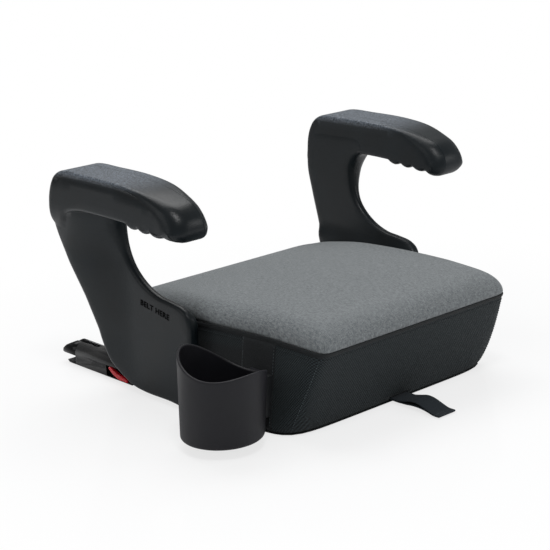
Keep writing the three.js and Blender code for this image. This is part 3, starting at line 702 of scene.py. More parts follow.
edge_insets = [0, 0.5, 1.2, 2.4, 4.2, 6.8, 10, 14, 18.5, 23.5, 29]
edge_insets += list(np.linspace(34.5, SIDE, 24))
half_line = [1 - inset / SIDE for inset in edge_insets[:-1]]
line = [-t for t in half_line] + [0.0] + half_line[::-1]
N = len(line)
points = [cushion_point(u, v, BINDING_HALF - 0.2) for v in line for u in line]
faces = [(r * N + c, r * N + c + 1, (r + 1) * N + c + 1, (r + 1) * N + c)
         for r in range(N - 1) for c in range(N - 1)]
border = grid_rim(N, N)
skirt = [(1.2, -1.0), (3.4, -3.0), (4.0, -9.0)]


def tucked(p, inset, z):
    """The same point of the outline lower down, where the side band is narrower."""
    share = (z - SILL["z"]) / (SEAM["z"] - SILL["z"])
    forward = (p.y - SEAM["front"]) / (SEAM["rear"] - SEAM["front"])
    y = mix(mix(SILL["front"], SEAM["front"], share), mix(SILL["rear"], SEAM["rear"], share), forward)
    shrink = 1 - inset / SIDE
    return Vector((p.x * shrink * 0.996, (y + 14) * shrink - 14, z))


last = border
for inset, drop in skirt:
    row = []
    for index in border:
        p = points[index]
        row.append(len(points))
        points.append(tucked(p, inset, p.z + drop))
    faces += wall_between(last, row)
    last = row
under = len(points)
points += [tucked(p, 5.5, foam_low.z + 0.4) for p in points[:N * N]]
faces += [tuple(under + i for i in reversed(face)) for face in faces[:(N - 1) * (N - 1)]]
faces += wall_between(last, [under + i for i in border])
cushion = mesh_object("seat_cushion", points, faces, seat_fabric)
print("grid", N, "by", N, "and", len(cushion.data.vertices), "points")

# %% Cushion cloth
CLOTH_FRAMES = 20
MOST_MOVE = 1.6  # mm
held = cushion.vertex_groups.new(name="held")
for index in range(len(cushion.data.vertices)):
    u, v = (line[index % N], line[index // N]) if index < N * N else (1, 1)
    inset = (1 - max(abs(u), abs(v))) * SIDE
    held.add([index], 1.0 if inset < 6 else 1 - smooth_step(6, 30, inset) * 0.97, "REPLACE")
before = [v.co.copy() for v in cushion.data.vertices]
cloth = cushion.modifiers.new("cloth", "CLOTH")
cloth.settings.quality = 5
cloth.settings.vertex_group_mass = "held"
cloth.settings.effector_weights.gravity = 0
cloth.settings.use_pressure = True
cloth.settings.uniform_pressure_force = 4
cloth.settings.tension_stiffness = 40
cloth.settings.compression_stiffness = 40
cloth.settings.bending_stiffness = 2
cloth.point_cache.frame_start = 1
cloth.point_cache.frame_end = CLOTH_FRAMES
for number in range(1, CLOTH_FRAMES + 1):
    bpy.context.scene.frame_set(number)
graph = bpy.context.evaluated_depsgraph_get()
puffed = bpy.data.meshes.new_from_object(cushion.evaluated_get(graph), depsgraph=graph)
after = [v.co.copy() for v in puffed.vertices]
cushion.modifiers.clear()
bpy.data.meshes.remove(puffed)
bpy.context.scene.frame_set(1)
moved = 0.0
for vertex, a, b in zip(cushion.data.vertices, before, after):
    step = b - a
    step *= min(1.0, MOST_MOVE * MM / max(step.length, 1e-9))
    vertex.co = a + step
    moved = max(moved, step.length)
print("cloth moved the top by up to", round(moved * 1000, 2), "mm")
cushion.vertex_groups.clear()
modify(cushion, "SUBSURF", levels=1, render_levels=1)
tidy_mesh(cushion)
finish(cushion, "seat_fabric", ("cover_top", "seat_foam"))

# %% [markdown]
# ## Side band
# The lower part of the cover is a band of black spacer mesh at the front and front corners and a
# smoother knit along the sides and back. It is pulled over the plastic base and tucked under the bottom
# edge. The band is lofted from the outline at several heights, with a little fullness between top and
# bottom, and cut out where the connectors slide and where the adjuster strap comes through.

# %% Band mesh
def skin_point(angle, level, inset=0.0):
    """A point on the cover's side. level is 0 at the sill and 1 just under the binding."""
    share = level
    for _ in range(3):
        x, y = outline_point(angle, share, inset)
        top = seam_z(y) - BINDING_HALF - 0.3
        z = mix(SILL["z"], top, level)
        share = (z - SILL["z"]) / (SEAM["z"] - SILL["z"])
    return Vector((x, y, z))


def fullness(level):
    """How far the cloth stands out between its lower edge and its top, mm."""
    return 0.7 * math.sin(math.pi * level) ** 0.8


outer_levels = [0.045, 0.075, 0.12, 0.2, 0.3, 0.4, 0.5, 0.6, 0.7, 0.8, 0.88, 0.94, 0.975, 1.0]
profile = [(0.0, 3.4), (0.0, 1.6), (0.012, 0.55), (0.028, 0.12)]
profile += [(level, -fullness(level)) for level in outer_levels]
profile += [(1.0, 2.4), (0.5, 1.9), (0.04, 1.9), (0.03, 2.6), (0.018, 3.4)]
rings = [[skin_point(a, level, inset) for a in seam_angles] for level, inset in profile]
band = loft("cover_side_band", rings, side_fabric, closed=True)
print("band", len(rings), "by", len(seam_angles), "and", round(seam_length), "mm round")

# %% Band cut-outs and map
CHANNEL_X = (128.5, 163.5)
CHANNEL_FRONT = 60.5
CHANNEL_TOP = 30


def channel(side, front=CHANNEL_FRONT, rear=250):
    """The space in which a connector slides, on one side of the seat."""
    inner, outer = sorted(side * x for x in CHANNEL_X)
    return block((inner, front, -5), (outer, rear, CHANNEL_TOP))


for side in (-1, 1):
    boolean(band, "DIFFERENCE", channel(side))
strap_low, strap_high = mm_box("adjuster_strap")
boolean(band, "DIFFERENCE", block((strap_low.x - 1, -200, -5), (strap_high.x + 1, -110, 7.4)))


def write_attribute(thing, name, value_of):
    layer = thing.data.attributes.new(name, "FLOAT", "POINT")
    layer.data.foreach_set("value", [value_of(v.co * 1000) for v in thing.data.vertices])


fine_angles = np.linspace(math.pi / 2, math.pi / 2 + 2 * math.pi, 1441)
fine_path = np.array([outline_point(a, 0.6) for a in fine_angles])
fine_travel = np.concatenate([[0], np.cumsum(np.linalg.norm(np.diff(fine_path, axis=0), axis=1))])


def unroll(thing):
    """A map in metres: U runs round the seat, V goes up."""
    layer = thing.data.uv_layers.new(name="unrolled")
    round_of = {}
    for v in thing.data.vertices:
        place = v.co * 1000
        away = (fine_path[:, 0] - place.x) ** 2 + (fine_path[:, 1] - place.y) ** 2
        i = int(np.argmin(away))
        j = min(i + 1, len(fine_path) - 1)
        along = fine_path[j] - fine_path[i - 1 if i else 0]
        ahead = float(np.dot((place.x - fine_path[i][0], place.y - fine_path[i][1]), along))
        round_of[v.index] = float(fine_travel[i]) + ahead / max(float(np.linalg.norm(along)), 1e-6)
    for face in thing.data.polygons:
        values = [round_of[i] for i in face.vertices]
        for loop, value in zip(face.loop_indices, values):
            if max(values) - value > 600:
                value += float(fine_travel[-1])
            vertex = thing.data.vertices[thing.data.loops[loop].vertex_index]
            layer.data[loop].uv = (value * MM, vertex.co.z)


unroll(band)
PANEL_FRONT, PANEL_REAR = -112, -66
write_attribute(band, "open_mesh", lambda p: 1.0 if p.y < (PANEL_FRONT + PANEL_REAR) / 2 else 0.0)
tidy_mesh(band)
finish(band, "side_mesh", ("cover_side",))


# %% [markdown]
# ## Side panels, binding and hem
# Between the mesh and the smooth fabric each side has a narrow smooth panel that laps over both. A black
# binding tape is sewn round the edge of the top panel, and a narrow tape closes the cover underneath.

# %% Smooth panels
def side_patch(name, side, y0, y1, thickness, material):
    """A thin closed patch that lies on the band between two values of y."""
    levels = [0.03, 0.06, 0.12, 0.2, 0.3, 0.4, 0.5, 0.6, 0.7, 0.8, 0.88, 0.94, 0.985]
    ys = np.linspace(y0, y1, 14)
    grid = [[point_at_y(side, y, level) for y in ys] for level in levels]
    points, faces = [], []
    count = len(ys)
    for depth in (-0.4, thickness):
        for r, row in enumerate(grid):
            for c, p in enumerate(row):
                rim = r in (0, len(grid) - 1) or c in (0, count - 1)
                out = depth if depth < 0 else (thickness * 0.45 if rim else thickness)
                points.append(p + Vector((side * (out + fullness(levels[r])), 0, 0)))
    size = len(grid) * count
    for r in range(len(grid) - 1):
        for c in range(count - 1):
            a, b, d, e = r * count + c, r * count + c + 1, (r + 1) * count + c, (r + 1) * count + c + 1
            faces.append((a, d, e, b))
            faces.append((size + a, size + b, size + e, size + d))
    edge = grid_rim(len(grid), count)
    faces += wall_between(edge, [size + i for i in edge])
    patch = mesh_object(name, points, faces, material)
    unroll(patch)
    write_attribute(patch, "open_mesh", lambda p: 0.0)
    return patch


def point_at_y(side, y, level):
    """The point of the cover's side, on one side of the seat, at a given y."""
    low, high = math.radians(-89), math.radians(89)
    for _ in range(40):
        middle = (low + high) / 2
        if skin_point(middle, level).y < y:
            low = middle
        else:
            high = middle
    p = skin_point(middle, level)
    return Vector((side * p.x, p.y, p.z))


for side, word in ((-1, "right"), (1, "left")):
    patch = side_patch("side_panel_" + word, side, PANEL_FRONT, PANEL_REAR, 0.9, side_fabric)
    finish(patch, "side_mesh")

# %% Binding and hem
BINDING_PROFILE = [(-1.6, 0.9), (0.1, 1.1), (0.6, 0.8), (0.8, 0.0), (0.8, -1.6), (0.7, -3.2), (0.2, -3.9),
                   (-1.2, -3.9)]


def seam_offset_ring(out, up):
    """A ring beside the seam, so many millimetres outside it and above it."""
    ring = []
    for a in seam_angles:
        seam = seam_z(outline_point(a, 1.0)[1])
        level = seam + up
        share = (min(level, seam) - SILL["z"]) / (SEAM["z"] - SILL["z"])
        ring.append(Vector((*outline_point(a, share, -out), level)))
    return ring


binding = loft("cover_binding_band", [seam_offset_ring(*p) for p in BINDING_PROFILE], binding_tape,
               closed=True)
unroll(binding)
modify(binding, "SUBSURF", levels=1, render_levels=1)
tidy_mesh(binding)
finish(binding, "trim", ("cover_binding",))

hem_low, hem_high = mm_box("cover_hem_front")
hem_profile = [(0.0, hem_low.z + 0.9), (0.9, hem_low.z + 0.1), (4.8, hem_low.z), (5.6, hem_low.z + 0.8),
               (4.8, hem_high.z), (0.9, hem_high.z)]
hem_rings = [[Vector((*outline_point(a, 0.0, inset), z)) for a in seam_angles] for inset, z in hem_profile]
for name, low_y, high_y in (("front", -400, CHANNEL_FRONT), ("rear", CHANNEL_FRONT, 400)):
    hem = loft("hem_tape_" + name, hem_rings, binding_tape, closed=True)
    boolean(hem, "INTERSECT", block((-400, low_y, -10), (400, high_y, 10)))
    for side in (-1, 1):
        boolean(hem, "DIFFERENCE", channel(side, front=CHANNEL_FRONT - 0.1))
    unroll(hem)
    tidy_mesh(hem)
    finish(hem, "trim", ("cover_hem_" + name,))

# %% [markdown]
# ## Armrests
# Each armrest is a hollow moulding in two halves: an upright that grows out of the foot beside the seat
# and an arm that lies across its top. The upright leans outwards as it rises, and the vehicle's lap
# belt passes under the arm. Both are rounded slabs run through the side outline, joined, and then parted
# along the line where the two halves meet. The arm has a pebbled top over a shallow recess, and a row
# of shallow finger waves under its front.

# %% Armrest shape
ARM_INNER, ARM_INNER_TOP, ARM_OUTER = SIDE + 1, SIDE + 5.5, SIDE + 55.5
UPRIGHT_FRONT = [(3, 13), (60, 14), (110, 15), (150, 17), (185, 21), (210, 31), (250, 35)]
UPRIGHT_REAR = [(3, 19), (30, 23), (65, 24), (101, 31), (141, 41), (181, 48.6), (205, 53.6), (250, 54.9)]
UPRIGHT_OUTLINE = [
    (-6, 5, 3), (30, 5, 4), (70, 5, 4), (90, 8, 4), (108, 18, 5), (122, 31, 6), (132, 52, 7), (140, 80, 8),
    (148, 115, 8), (157, 150, 8), (163.5, 182, 8), (160, 208, 8), (148, 226, 7), (110, 229, 6),
    (68, 226, 6), (63, 211, 6), (76, 202, 8), (82.5, 190, 10), (84, 174, 11), (82, 160, 11), (76, 147, 11),
    (66, 136, 10), (51, 126, 9), (33, 119.5, 8), (14, 117, 7), (-2, 114, 7), (-13, 107, 7), (-17.5, 97, 7),
    (-17, 80, 6), (-15, 40, 4), (-14, 12, 3)]
ARM_OUTLINE = [
    (156, 176, 8), (163.2, 188, 8), (162.8, 203, 8), (161, 217, 8), (156, 229, 7), (147, 239, 4.5),
    (132, 246, 3.4), (90, 247, 3), (40, 246, 3), (3, 242, 5), (-22, 236, 11), (-41, 229, 17),
    (-52.5, 217, 19),
    (-54, 205, 16), (-48, 196, 12), (-38, 195.5, 8), (-28, 201, 5), (0, 204, 4), (30, 206, 4),
    (70, 207, 4), (110, 206, 4), (130, 200, 5), (140, 188, 6), (147, 179, 7)]
WAVE_FRONT, WAVE_PITCH, WAVE_DEPTH, WAVES = -30.5, 18.5, 3.6, 3
RECESS_DEPTH = 1.8
FACES_APART = 0.12  # keeps two faces that are joined from lying in one plane
GAP = 0.3


def arm_inner_x(y, z):
    return mix(ARM_INNER, ARM_INNER_TOP, smooth_step(98, 112, z))


def upright_outer_x(y, z):
    high = smooth_step(150, 205, z)
    turn = smooth_step(mix(78, 60, high), mix(152, 130, high), y)
    return SIDE + mix(look_up(UPRIGHT_FRONT, z), look_up(UPRIGHT_REAR, z), turn)


def arm_outer_x(y, z):
    """The arm's outer side, which runs down into the upright's face at the rear."""
    face = upright_outer_x(y, z)
    return mix(face - 0.6, ARM_OUTER, smooth_step(176, 206, z) if z < 206 else 1.0)


def closed_curve(control, steps):
    """A closed centripetal Catmull-Rom curve: points with tangents, and the third value carried along."""
    out, n = [], len(control)
    P = [Vector(p) for p in control]
    for i in range(n):
        p0, p1, p2, p3 = P[i - 1], P[i], P[(i + 1) % n], P[(i + 2) % n]
        t1 = max((p1 - p0).length ** 0.5, 1e-4)
        t2 = max((p2 - p1).length ** 0.5, 1e-4)
        t3 = max((p3 - p2).length ** 0.5, 1e-4)
        m1 = ((p1 - p0) / t1 - (p2 - p0) / (t1 + t2) + (p2 - p1) / t2) * t2
        m2 = ((p2 - p1) / t2 - (p3 - p1) / (t2 + t3) + (p3 - p2) / t3) * t2
        for s in range(steps):
            t = s / steps
            a, b = 2 * p1 - 2 * p2 + m1 + m2, -3 * p1 + 3 * p2 - 2 * m1 - m2
            out.append((((a * t + b) * t + m1) * t + p1, (3 * a * t + 2 * b) * t + m1))
    return out


def finger_wave(y, z):
    """How far the arm's underside bulges down at y."""
    along = (y - WAVE_FRONT) / WAVE_PITCH
    if z > 212 or along < 0 or along > WAVES:
        return 0.0
    return WAVE_DEPTH * abs(math.sin(math.pi * along)) ** 0.8


def slab(name, outline, outer_x, steps, angles, recess=False):
    stations = []
    for point, tangent in closed_curve(outline, steps):
        length = math.hypot(tangent.x, tangent.y)
        outwards = (tangent.y / length, -tangent.x / length)
        thick = outer_x(point.x, point.y) - arm_inner_x(point.x, point.y)
        stations.append((point.x, point.y, outwards, min(max(point.z, 1), thick * 0.45)))

    def ring(turn, face_x, sign):
        out = []
        for y, z, normal, r in stations:
            inset, depth = r * (1 - math.cos(turn)), r * (1 - math.sin(turn))
            py, pz = y - normal[0] * inset, z - normal[1] * inset
            x = face_x(py, pz) - sign * depth
            if recess and normal[1] < -0.5:
                pz -= finger_wave(y, z)
            out.append(Vector((x, py, pz)))
        return out

    rings = [ring(math.radians(angle), arm_inner_x, -1) for angle in angles]
    rings += [ring(math.radians(angle), outer_x, 1) for angle in angles[::-1]]
    count = len(stations)
    points = [p for one in rings for p in one]
    faces = [(r * count + i, r * count + (i + 1) % count, (r + 1) * count + (i + 1) % count,
              (r + 1) * count + i) for r in range(len(rings) - 1) for i in range(count)]
    for edge, face_x, sunk in ((rings[0], arm_inner_x, False), (rings[-1], outer_x, recess)):
        flat, triangles = fill_outline(edge, sunk)
        start = len(points)
        for y, z in flat:
            points.append(Vector((face_x(y, z) - (recess_depth(y, z) if sunk else 0.0), y, z)))
        faces += [tuple(start + i for i in t) for t in triangles]
    return mesh_object(name, points, faces, merge=0.02)


def fill_outline(edge, sunk):
    """Triangles over a flat outline, with a grid of points inside it so that the face can bend."""
    rim = [Vector((p.y, p.z)) for p in edge]
    low_y, high_y = min(p.x for p in rim), max(p.x for p in rim)
    low_z, high_z = min(p.y for p in rim), max(p.y for p in rim)
    inner = [Vector((y + (3.5 if row % 2 else 0), z)) for row, z in enumerate(np.arange(low_z, high_z, 7))
             for y in np.arange(low_y, high_y, 7)]
    if sunk:
        inner = [p for p in inner if p.y < edge_of_top(p.x) - 11]
        inner += [Vector((y, edge_of_top(y) - d)) for y in np.arange(-34, 158, 4)
                  for d in (1.2, 2.0, 4.0, 6.4, 8.4)]
    ends = list(zip(rim, rim[1:] + rim[:1]))

    def clear_inside(p):
        crossings, near = 0, 1e9
        for a, b in ends:
            if (a.y > p.y) != (b.y > p.y) and p.x < a.x + (p.y - a.y) / (b.y - a.y) * (b.x - a.x):
                crossings += 1
            near = min(near, (a - p).length_squared)
        return crossings % 2 == 1 and near > (0.9 if sunk else 6.0)

    inner = [p for p in inner if clear_inside(p)]
    verts = rim + inner
    edges = [(i, (i + 1) % len(rim)) for i in range(len(rim))]
    made = delaunay_2d_cdt(verts, edges, [tuple(range(len(rim)))], 1, 1e-4)
    return [tuple(v) for v in made[0]], [tuple(f) for f in made[2]]


def edge_of_top(y):
    """Height at which the arm's outer side begins, under the rounding of its top."""
    top = [(p[0], p[1] - min(p[2], 4)) for p in ARM_OUTLINE if p[1] > 213.5]
    return look_up(sorted(top), y)


def recess_depth(y, z):
    """The arm's outer side is set back a little under the edge of its top."""
    below = edge_of_top(y) - z
    depth = smooth_step(0.2, 1.3, below) * (1 - smooth_step(5.0, 7.6, below))
    return RECESS_DEPTH * depth * smooth_step(-26, 4, y) * (1 - smooth_step(136, 150, y))


STEPS = 8
ANGLES = [90, 72, 54, 36, 18, 0]
upright = slab("upright", UPRIGHT_OUTLINE, upright_outer_x, STEPS, ANGLES)
arm = slab("arm", ARM_OUTLINE, arm_outer_x, STEPS * 2, ANGLES, recess=True)
for vertex in arm.data.vertices:
    if vertex.co.x < (ARM_INNER_TOP + 0.05) * MM:
        vertex.co.x += FACES_APART * MM
boolean(upright, "UNION", arm)
print("armrest:", len(upright.data.polygons), "faces")

# %% Armrest halves
def joint_x(z):
    return (arm_inner_x(0, z) + SIDE + look_up(UPRIGHT_FRONT, z)) / 2


def arm_side(sign):
    """Everything to one side of the surface where the two halves of the armrest meet."""
    fine = [-20, 3, 30, 60, 85, 98, 101, 105, 108, 112, 130, 150, 170, 185, 200, 210, 230, 270]
    far_x = 320 if sign > 0 else 100
    front = [(joint_x(z) + sign * GAP / 2, -120, z) for z in fine]
    front += [(far_x, -120, 270), (far_x, -120, -20)]
    rear = [(x, 260, z) for x, y, z in front]
    return loft("side", [front, rear])


def copy_of(thing, name):
    twin = bpy.data.objects.new(name, thing.data.copy())
    bpy.context.scene.collection.objects.link(twin)
    return twin


def mirror_x(thing):
    for vertex in thing.data.vertices:
        vertex.co.x = -vertex.co.x
    thing.data.flip_normals()


def pebbles_and_top_light_mask(p):
    """1 on top of the arm, where the pebbled grain is and where the top is painted paler as light from above,
    fading over its rounded front.
    """
    return smooth_step(-30, 60, p.y) * (1 - smooth_step(140, 154, p.y)) * smooth_step(238, 245, p.z)


boolean(upright, "DIFFERENCE", channel(1, rear=300))
halves = {}
for word, sign in (("outer", 1), ("inner", -1)):
    half = copy_of(upright, "armrest_" + word)
    boolean(half, "INTERSECT", arm_side(sign))
    halves[word] = half
discard(upright)
for word, half in halves.items():
    for side_word, flip in (("left", False), ("right", True)):
        piece = copy_of(half, f"arm_moulding_{word}_{side_word}")
        if flip:
            mirror_x(piece)
        piece.data.materials.append(armrest_plastic)
        for face in piece.data.polygons:
            face.material_index = 0
        # The mask carries the pebbled grain and the painted light on the arm's top.
        write_attribute(piece, "coarse_grain_and_top_light", pebbles_and_top_light_mask)
        tidy_mesh(piece, smooth=True, merge=0.01)
        piece.data.set_sharp_from_angle(angle=math.radians(32))
        finish(piece, "armrest_plastic", (f"armrest_{word}_{side_word}",))
for half in halves.values():
    discard(half)

# %% [markdown]
# ## Words on the armrest
# Two short words are printed on the outer face of the right-hand armrest to show where the belt goes.
# They are flat letters that follow the moulding's surface and stand a third of a millimetre off it, so
# that no part of a letter sinks into the curve of the wall.

# %% Printed words
letters = bpy.data.curves.new("belt_words", "FONT")
letters.body = "BELT HERE"
letters.size = 8.4 * MM
letters.offset = 0.2 * MM
letters.space_character = 1.12
letters.align_x = "LEFT"
words = bpy.data.objects.new("belt_words", letters)
bpy.context.scene.collection.objects.link(words)
graph = bpy.context.evaluated_depsgraph_get()
flat = bpy.data.meshes.new_from_object(words.evaluated_get(graph), depsgraph=graph)
bpy.data.objects.remove(words)
wall = bpy.data.objects["arm_moulding_outer_right"]
tree = BVHTree.FromPolygons([v.co for v in wall.data.vertices], [p.vertices for p in wall.data.polygons])
WORDS_REAR, WORDS_FRONT = Vector((63.0, 105.6)), Vector((16.0, 97.6))
WORDS_OFF, WORDS_THICK = 0.34, 0.18
run = (WORDS_FRONT - WORDS_REAR).normalized()
rise = Vector((run.y, -run.x))
work = bmesh.new()
work.from_mesh(flat)
for _ in range(3):
    long_edges = [e for e in work.edges if e.calc_length() > 2.2 * MM]
    bmesh.ops.subdivide_edges(work, edges=long_edges, cuts=1)
stretch = (WORDS_FRONT - WORDS_REAR).length / (max(v.co.x for v in work.verts) * 1000)
for vertex in work.verts:
    place = WORDS_REAR + run * (vertex.co.x * 1000 * stretch) + rise * (vertex.co.y * 1000)
    hit = tree.ray_cast(Vector((-0.4, place.x * MM, place.y * MM)), Vector((1, 0, 0)))
    vertex.co = hit[0] + Vector((-WORDS_OFF * MM, 0, 0))
backs = bmesh.ops.extrude_face_region(work, geom=work.faces[:])
for element in backs["geom"]:
    if isinstance(element, bmesh.types.BMVert):
        element.co.x += WORDS_THICK * MM
bmesh.ops.recalc_face_normals(work, faces=work.faces)
lettering = bpy.data.meshes.new("belt_words")
work.to_mesh(lettering)
work.free()
bpy.data.meshes.remove(flat)
printed = bpy.data.objects.new("belt_words", lettering)
bpy.context.scene.collection.objects.link(printed)
lettering.materials.append(ink_material)
finish(printed, "armrest_plastic")

# %% [markdown]
# ## Cup holder
# A moulded cup that hangs by a tongue on a bracket at the seat's right side. Its rim dips at the front and
# the back and rises towards the seat and away from it, and the wall ends in a rounded lip.

# %% Cup
cup_low, _ = mm_box("cup_holder")
CUP = {"x": -201.5, "y": -97, "z": cup_low.z, "radius": 41.5, "rim": 44, "wall": 3, "corner": 3.4, "lean": -6}
CUP_RIM = {"low": 76, "high": 93, "turn": 18, "tilt": 11, "tilt_turn": 63}


def rim_height(angle):
    rise = math.sin(angle - math.radians(CUP_RIM["turn"]))
    slope = math.sin(angle - math.radians(CUP_RIM["tilt_turn"]))
    return mix(CUP_RIM["low"], CUP_RIM["high"], rise ** 2) + CUP_RIM["tilt"] * slope


def cup_ring(offset, height, count=128):
    """A ring round the leaning cup, offset inwards from its outer wall."""
    ring = []
    for i in range(count):
        angle = 2 * math.pi * i / count
        z = height(angle)
        share = (z - CUP["z"]) / (CUP_RIM["high"] - CUP["z"])
        r = mix(CUP["radius"], CUP["rim"], share) - offset
        ring.append(Vector((CUP["x"] + r * math.cos(angle), CUP["y"] + CUP["lean"] * share +
                            r * math.sin(angle), z)))
    return ring


def level_ring(offset, z):
    return cup_ring(offset, lambda a: z)


def rim_ring(offset, drop):
    return cup_ring(offset, lambda a: rim_height(a) - drop)


def body_ring(offset, share):
    """Between the cup's bottom corner and its rim."""
    low = CUP["z"] + CUP["corner"] + 1
    return cup_ring(offset, lambda a: mix(low, rim_height(a) - 3, share))


def sin_cos(degrees):
    """The sine and the cosine of an angle given in degrees."""
    return math.sin(math.radians(degrees)), math.cos(math.radians(degrees))


corner, wall_mm = CUP["corner"], CUP["wall"]
rings = [level_ring(30, CUP["z"] + 0.6), level_ring(corner + 6, CUP["z"] + 0.6),
         level_ring(corner + 5, CUP["z"])]
for turn in (0, 18, 36, 54, 72, 90):
    s, c = sin_cos(turn)
    rings.append(level_ring(corner * (1 - s), CUP["z"] + corner * (1 - c)))
rings += [body_ring(0, t) for t in (0.0, 0.2, 0.4, 0.6, 0.8, 1.0)]
half_wall = wall_mm / 2
for turn in (0, 22, 45, 68, 90, 112, 135, 158, 180):
    s, c = sin_cos(turn)
    rings.append(rim_ring(half_wall * (1 - c), half_wall * (1 - s)))
rings += [body_ring(wall_mm, t) for t in (1.0, 0.8, 0.6, 0.4, 0.2, 0.04)]
for turn in (90, 60, 30, 0):
    s, c = sin_cos(turn)
    rings.append(level_ring(wall_mm + corner * (1 - s), CUP["z"] + wall_mm + corner * (1 - c)))
rings.append(level_ring(30, CUP["z"] + wall_mm))
cup = loft("cup_moulding", rings)
bracket_low, _ = mm_box("cup_bracket")
tongue_x = bracket_low.x + 1.8 + GAP
tongue = block((tongue_x, CUP["y"] - 9.6, 32), (tongue_x + 2.8, CUP["y"] + 9.6, 66))
cup_wall_x = CUP["x"] + CUP["radius"]
bridge = block((cup_wall_x - 1.2, CUP["y"] - 9.6, 62.4), (tongue_x + 0.6, CUP["y"] + 9.6, 66))
boolean(cup, "UNION", tongue)
boolean(cup, "UNION", bridge)
cup.data.materials.clear()
cup.data.materials.append(cup_plastic)
tidy_mesh(cup, merge=0.005)
cup.data.set_sharp_from_angle(angle=math.radians(40))
finish(cup, "cup_plastic", ("cup_holder",))

# %% [markdown]
# ## Base, bracket, connectors and carriage
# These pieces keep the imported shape, because their form is settled by what slides or turns in them. Each
# is copied, its flat faces are cleaned, and its edges get the small radius that a mould or a press leaves.

# %% Bevelled copies
def bevelled(name, radius_mm, material, slot):
    """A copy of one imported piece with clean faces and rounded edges."""
    source = frame["nodes"][name]
    data = source.data.copy()
    thing = bpy.data.objects.new(name + "_finished", data)
    bpy.context.scene.collection.objects.link(thing)
    thing.matrix_world = source.matrix_world
    data.transform(thing.matrix_world)
    thing.matrix_world = Matrix()
    data.materials.clear()
    data.materials.append(material)
    work = bmesh.new()
    work.from_mesh(data)
    bmesh.ops.remove_doubles(work, verts=work.verts, dist=0.01 * MM)
    bmesh.ops.dissolve_limit(work, angle_limit=math.radians(2), verts=work.verts, edges=work.edges)
    bmesh.ops.recalc_face_normals(work, faces=work.faces)
    work.to_mesh(data)
    work.free()
    for face in data.polygons:
        face.material_index = 0
    if radius_mm:
        modify(thing, "BEVEL", width=radius_mm * MM, segments=3, limit_method="ANGLE",
               angle_limit=math.radians(28), use_clamp_overlap=True)
    tidy_mesh(thing)
    thing.data.set_sharp_from_angle(angle=math.radians(35))
    return finish(thing, slot, (name,))


for word in ("left", "right"):
    bevelled(f"latch_jaw_{word}", 0.4, steel, "steel")
    bevelled(f"latch_pin_{word}", 0.3, steel, "steel")
    bevelled(f"slide_bar_{word}", 0.6, steel, "steel")
    for n in (1, 2):
        bevelled(f"armrest_screw_{n}_{word}", 0.25, steel, "steel")
    for end in ("front", "rear"):
        bevelled(f"foot_{end}_{word}", 0.4, foot_rubber, "rubber")
bevelled("slide_crossbar", 0.8, steel, "steel")
bevelled("cup_bracket", 0.8, base_plastic, "base_plastic")
bevelled("base_shell", 0.5, base_plastic, "base_plastic")
bevelled("base_pan", 0.4, base_plastic, "base_plastic")
bevelled("adjuster_frame", 0.4, steel, "steel")
bevelled("adjuster_pin", 0.3, steel, "steel")
bevelled("adjuster_cam", 0.5, latch_plastic, "latch_plastic")

# %% [markdown]
# ## Lower-anchor connectors
# Each connector is a glossy dark housing with a rounded top. An end cap closes its rear, behind a fine
# parting line, and the steel jaw shows in the mouth. A red release button lies along the outer side.

# %% Housings
def prism_x(name, outline, x0, x1):
    """A plate across X whose outline is given as (y, z)."""
    return loft(name, [[Vector((x, y, z)) for y, z in outline] for x in (x0, x1)])


def rounded_section(x0, x1, z0, z1, top_radius, bottom_radius):
    """A cross-section with a broad rounded top, as (x, z) points."""
    out = []
    for cx, cz, r, first in (
            (x1 - bottom_radius, z0 + bottom_radius, bottom_radius, -90),
            (x1 - top_radius, z1 - top_radius, top_radius, 0),
            (x0 + top_radius, z1 - top_radius, top_radius, 90),
            (x0 + bottom_radius, z0 + bottom_radius, bottom_radius, 180)):
        for turn in np.linspace(first, first + 90, 9):
            a = math.radians(turn)
            out.append((cx + r * math.cos(a), cz + r * math.sin(a)))
    return out


def housing_form(low, high):
    """The connector's outer form: a rounded bar whose rear end is rounded too, with a fine cap line."""
    rings = []
    cap = high.y - 26
    length = [(low.y - 1, 0), (cap - 0.5, 0), (cap - 0.25, 0.45), (cap + 0.25, 0.45), (cap + 0.5, 0)]
    length += [(high.y - 9 + 9 * math.sin(t), 9 * (1 - math.cos(t)) * 0.8)
               for t in np.linspace(0, math.radians(86), 9)]
    for y, tuck in length:
        section = rounded_section(low.x + 0.15 + tuck * 0.3, high.x - 0.15 - tuck * 0.3, low.z + tuck * 0.15,
                                  high.z - tuck, max(2.0, 11.0 - tuck * 0.6), 1.6)
        rings.append([Vector((x, y, z)) for x, z in section])
    return loft("form", rings)


def crescent(y0, y1, z0, z1):
    """The button's outline: its lower edge sweeps up towards the rear, and its back is rounded."""
    def lower(t):
        return z0 + (z1 - z0) * 0.85 * max(0, (t - 0.35) / 0.65) ** 1.9

    out = [(mix(y0, y1, t), lower(t)) for t in np.linspace(0, 1, 15)]
    for t in np.linspace(1, 0, 15):
        out.append((mix(y0, y1, t) - 1.0 * t, min(z1, lower(t) + 2.4 + 2.4 * math.sin(math.pi * t))))
    return out


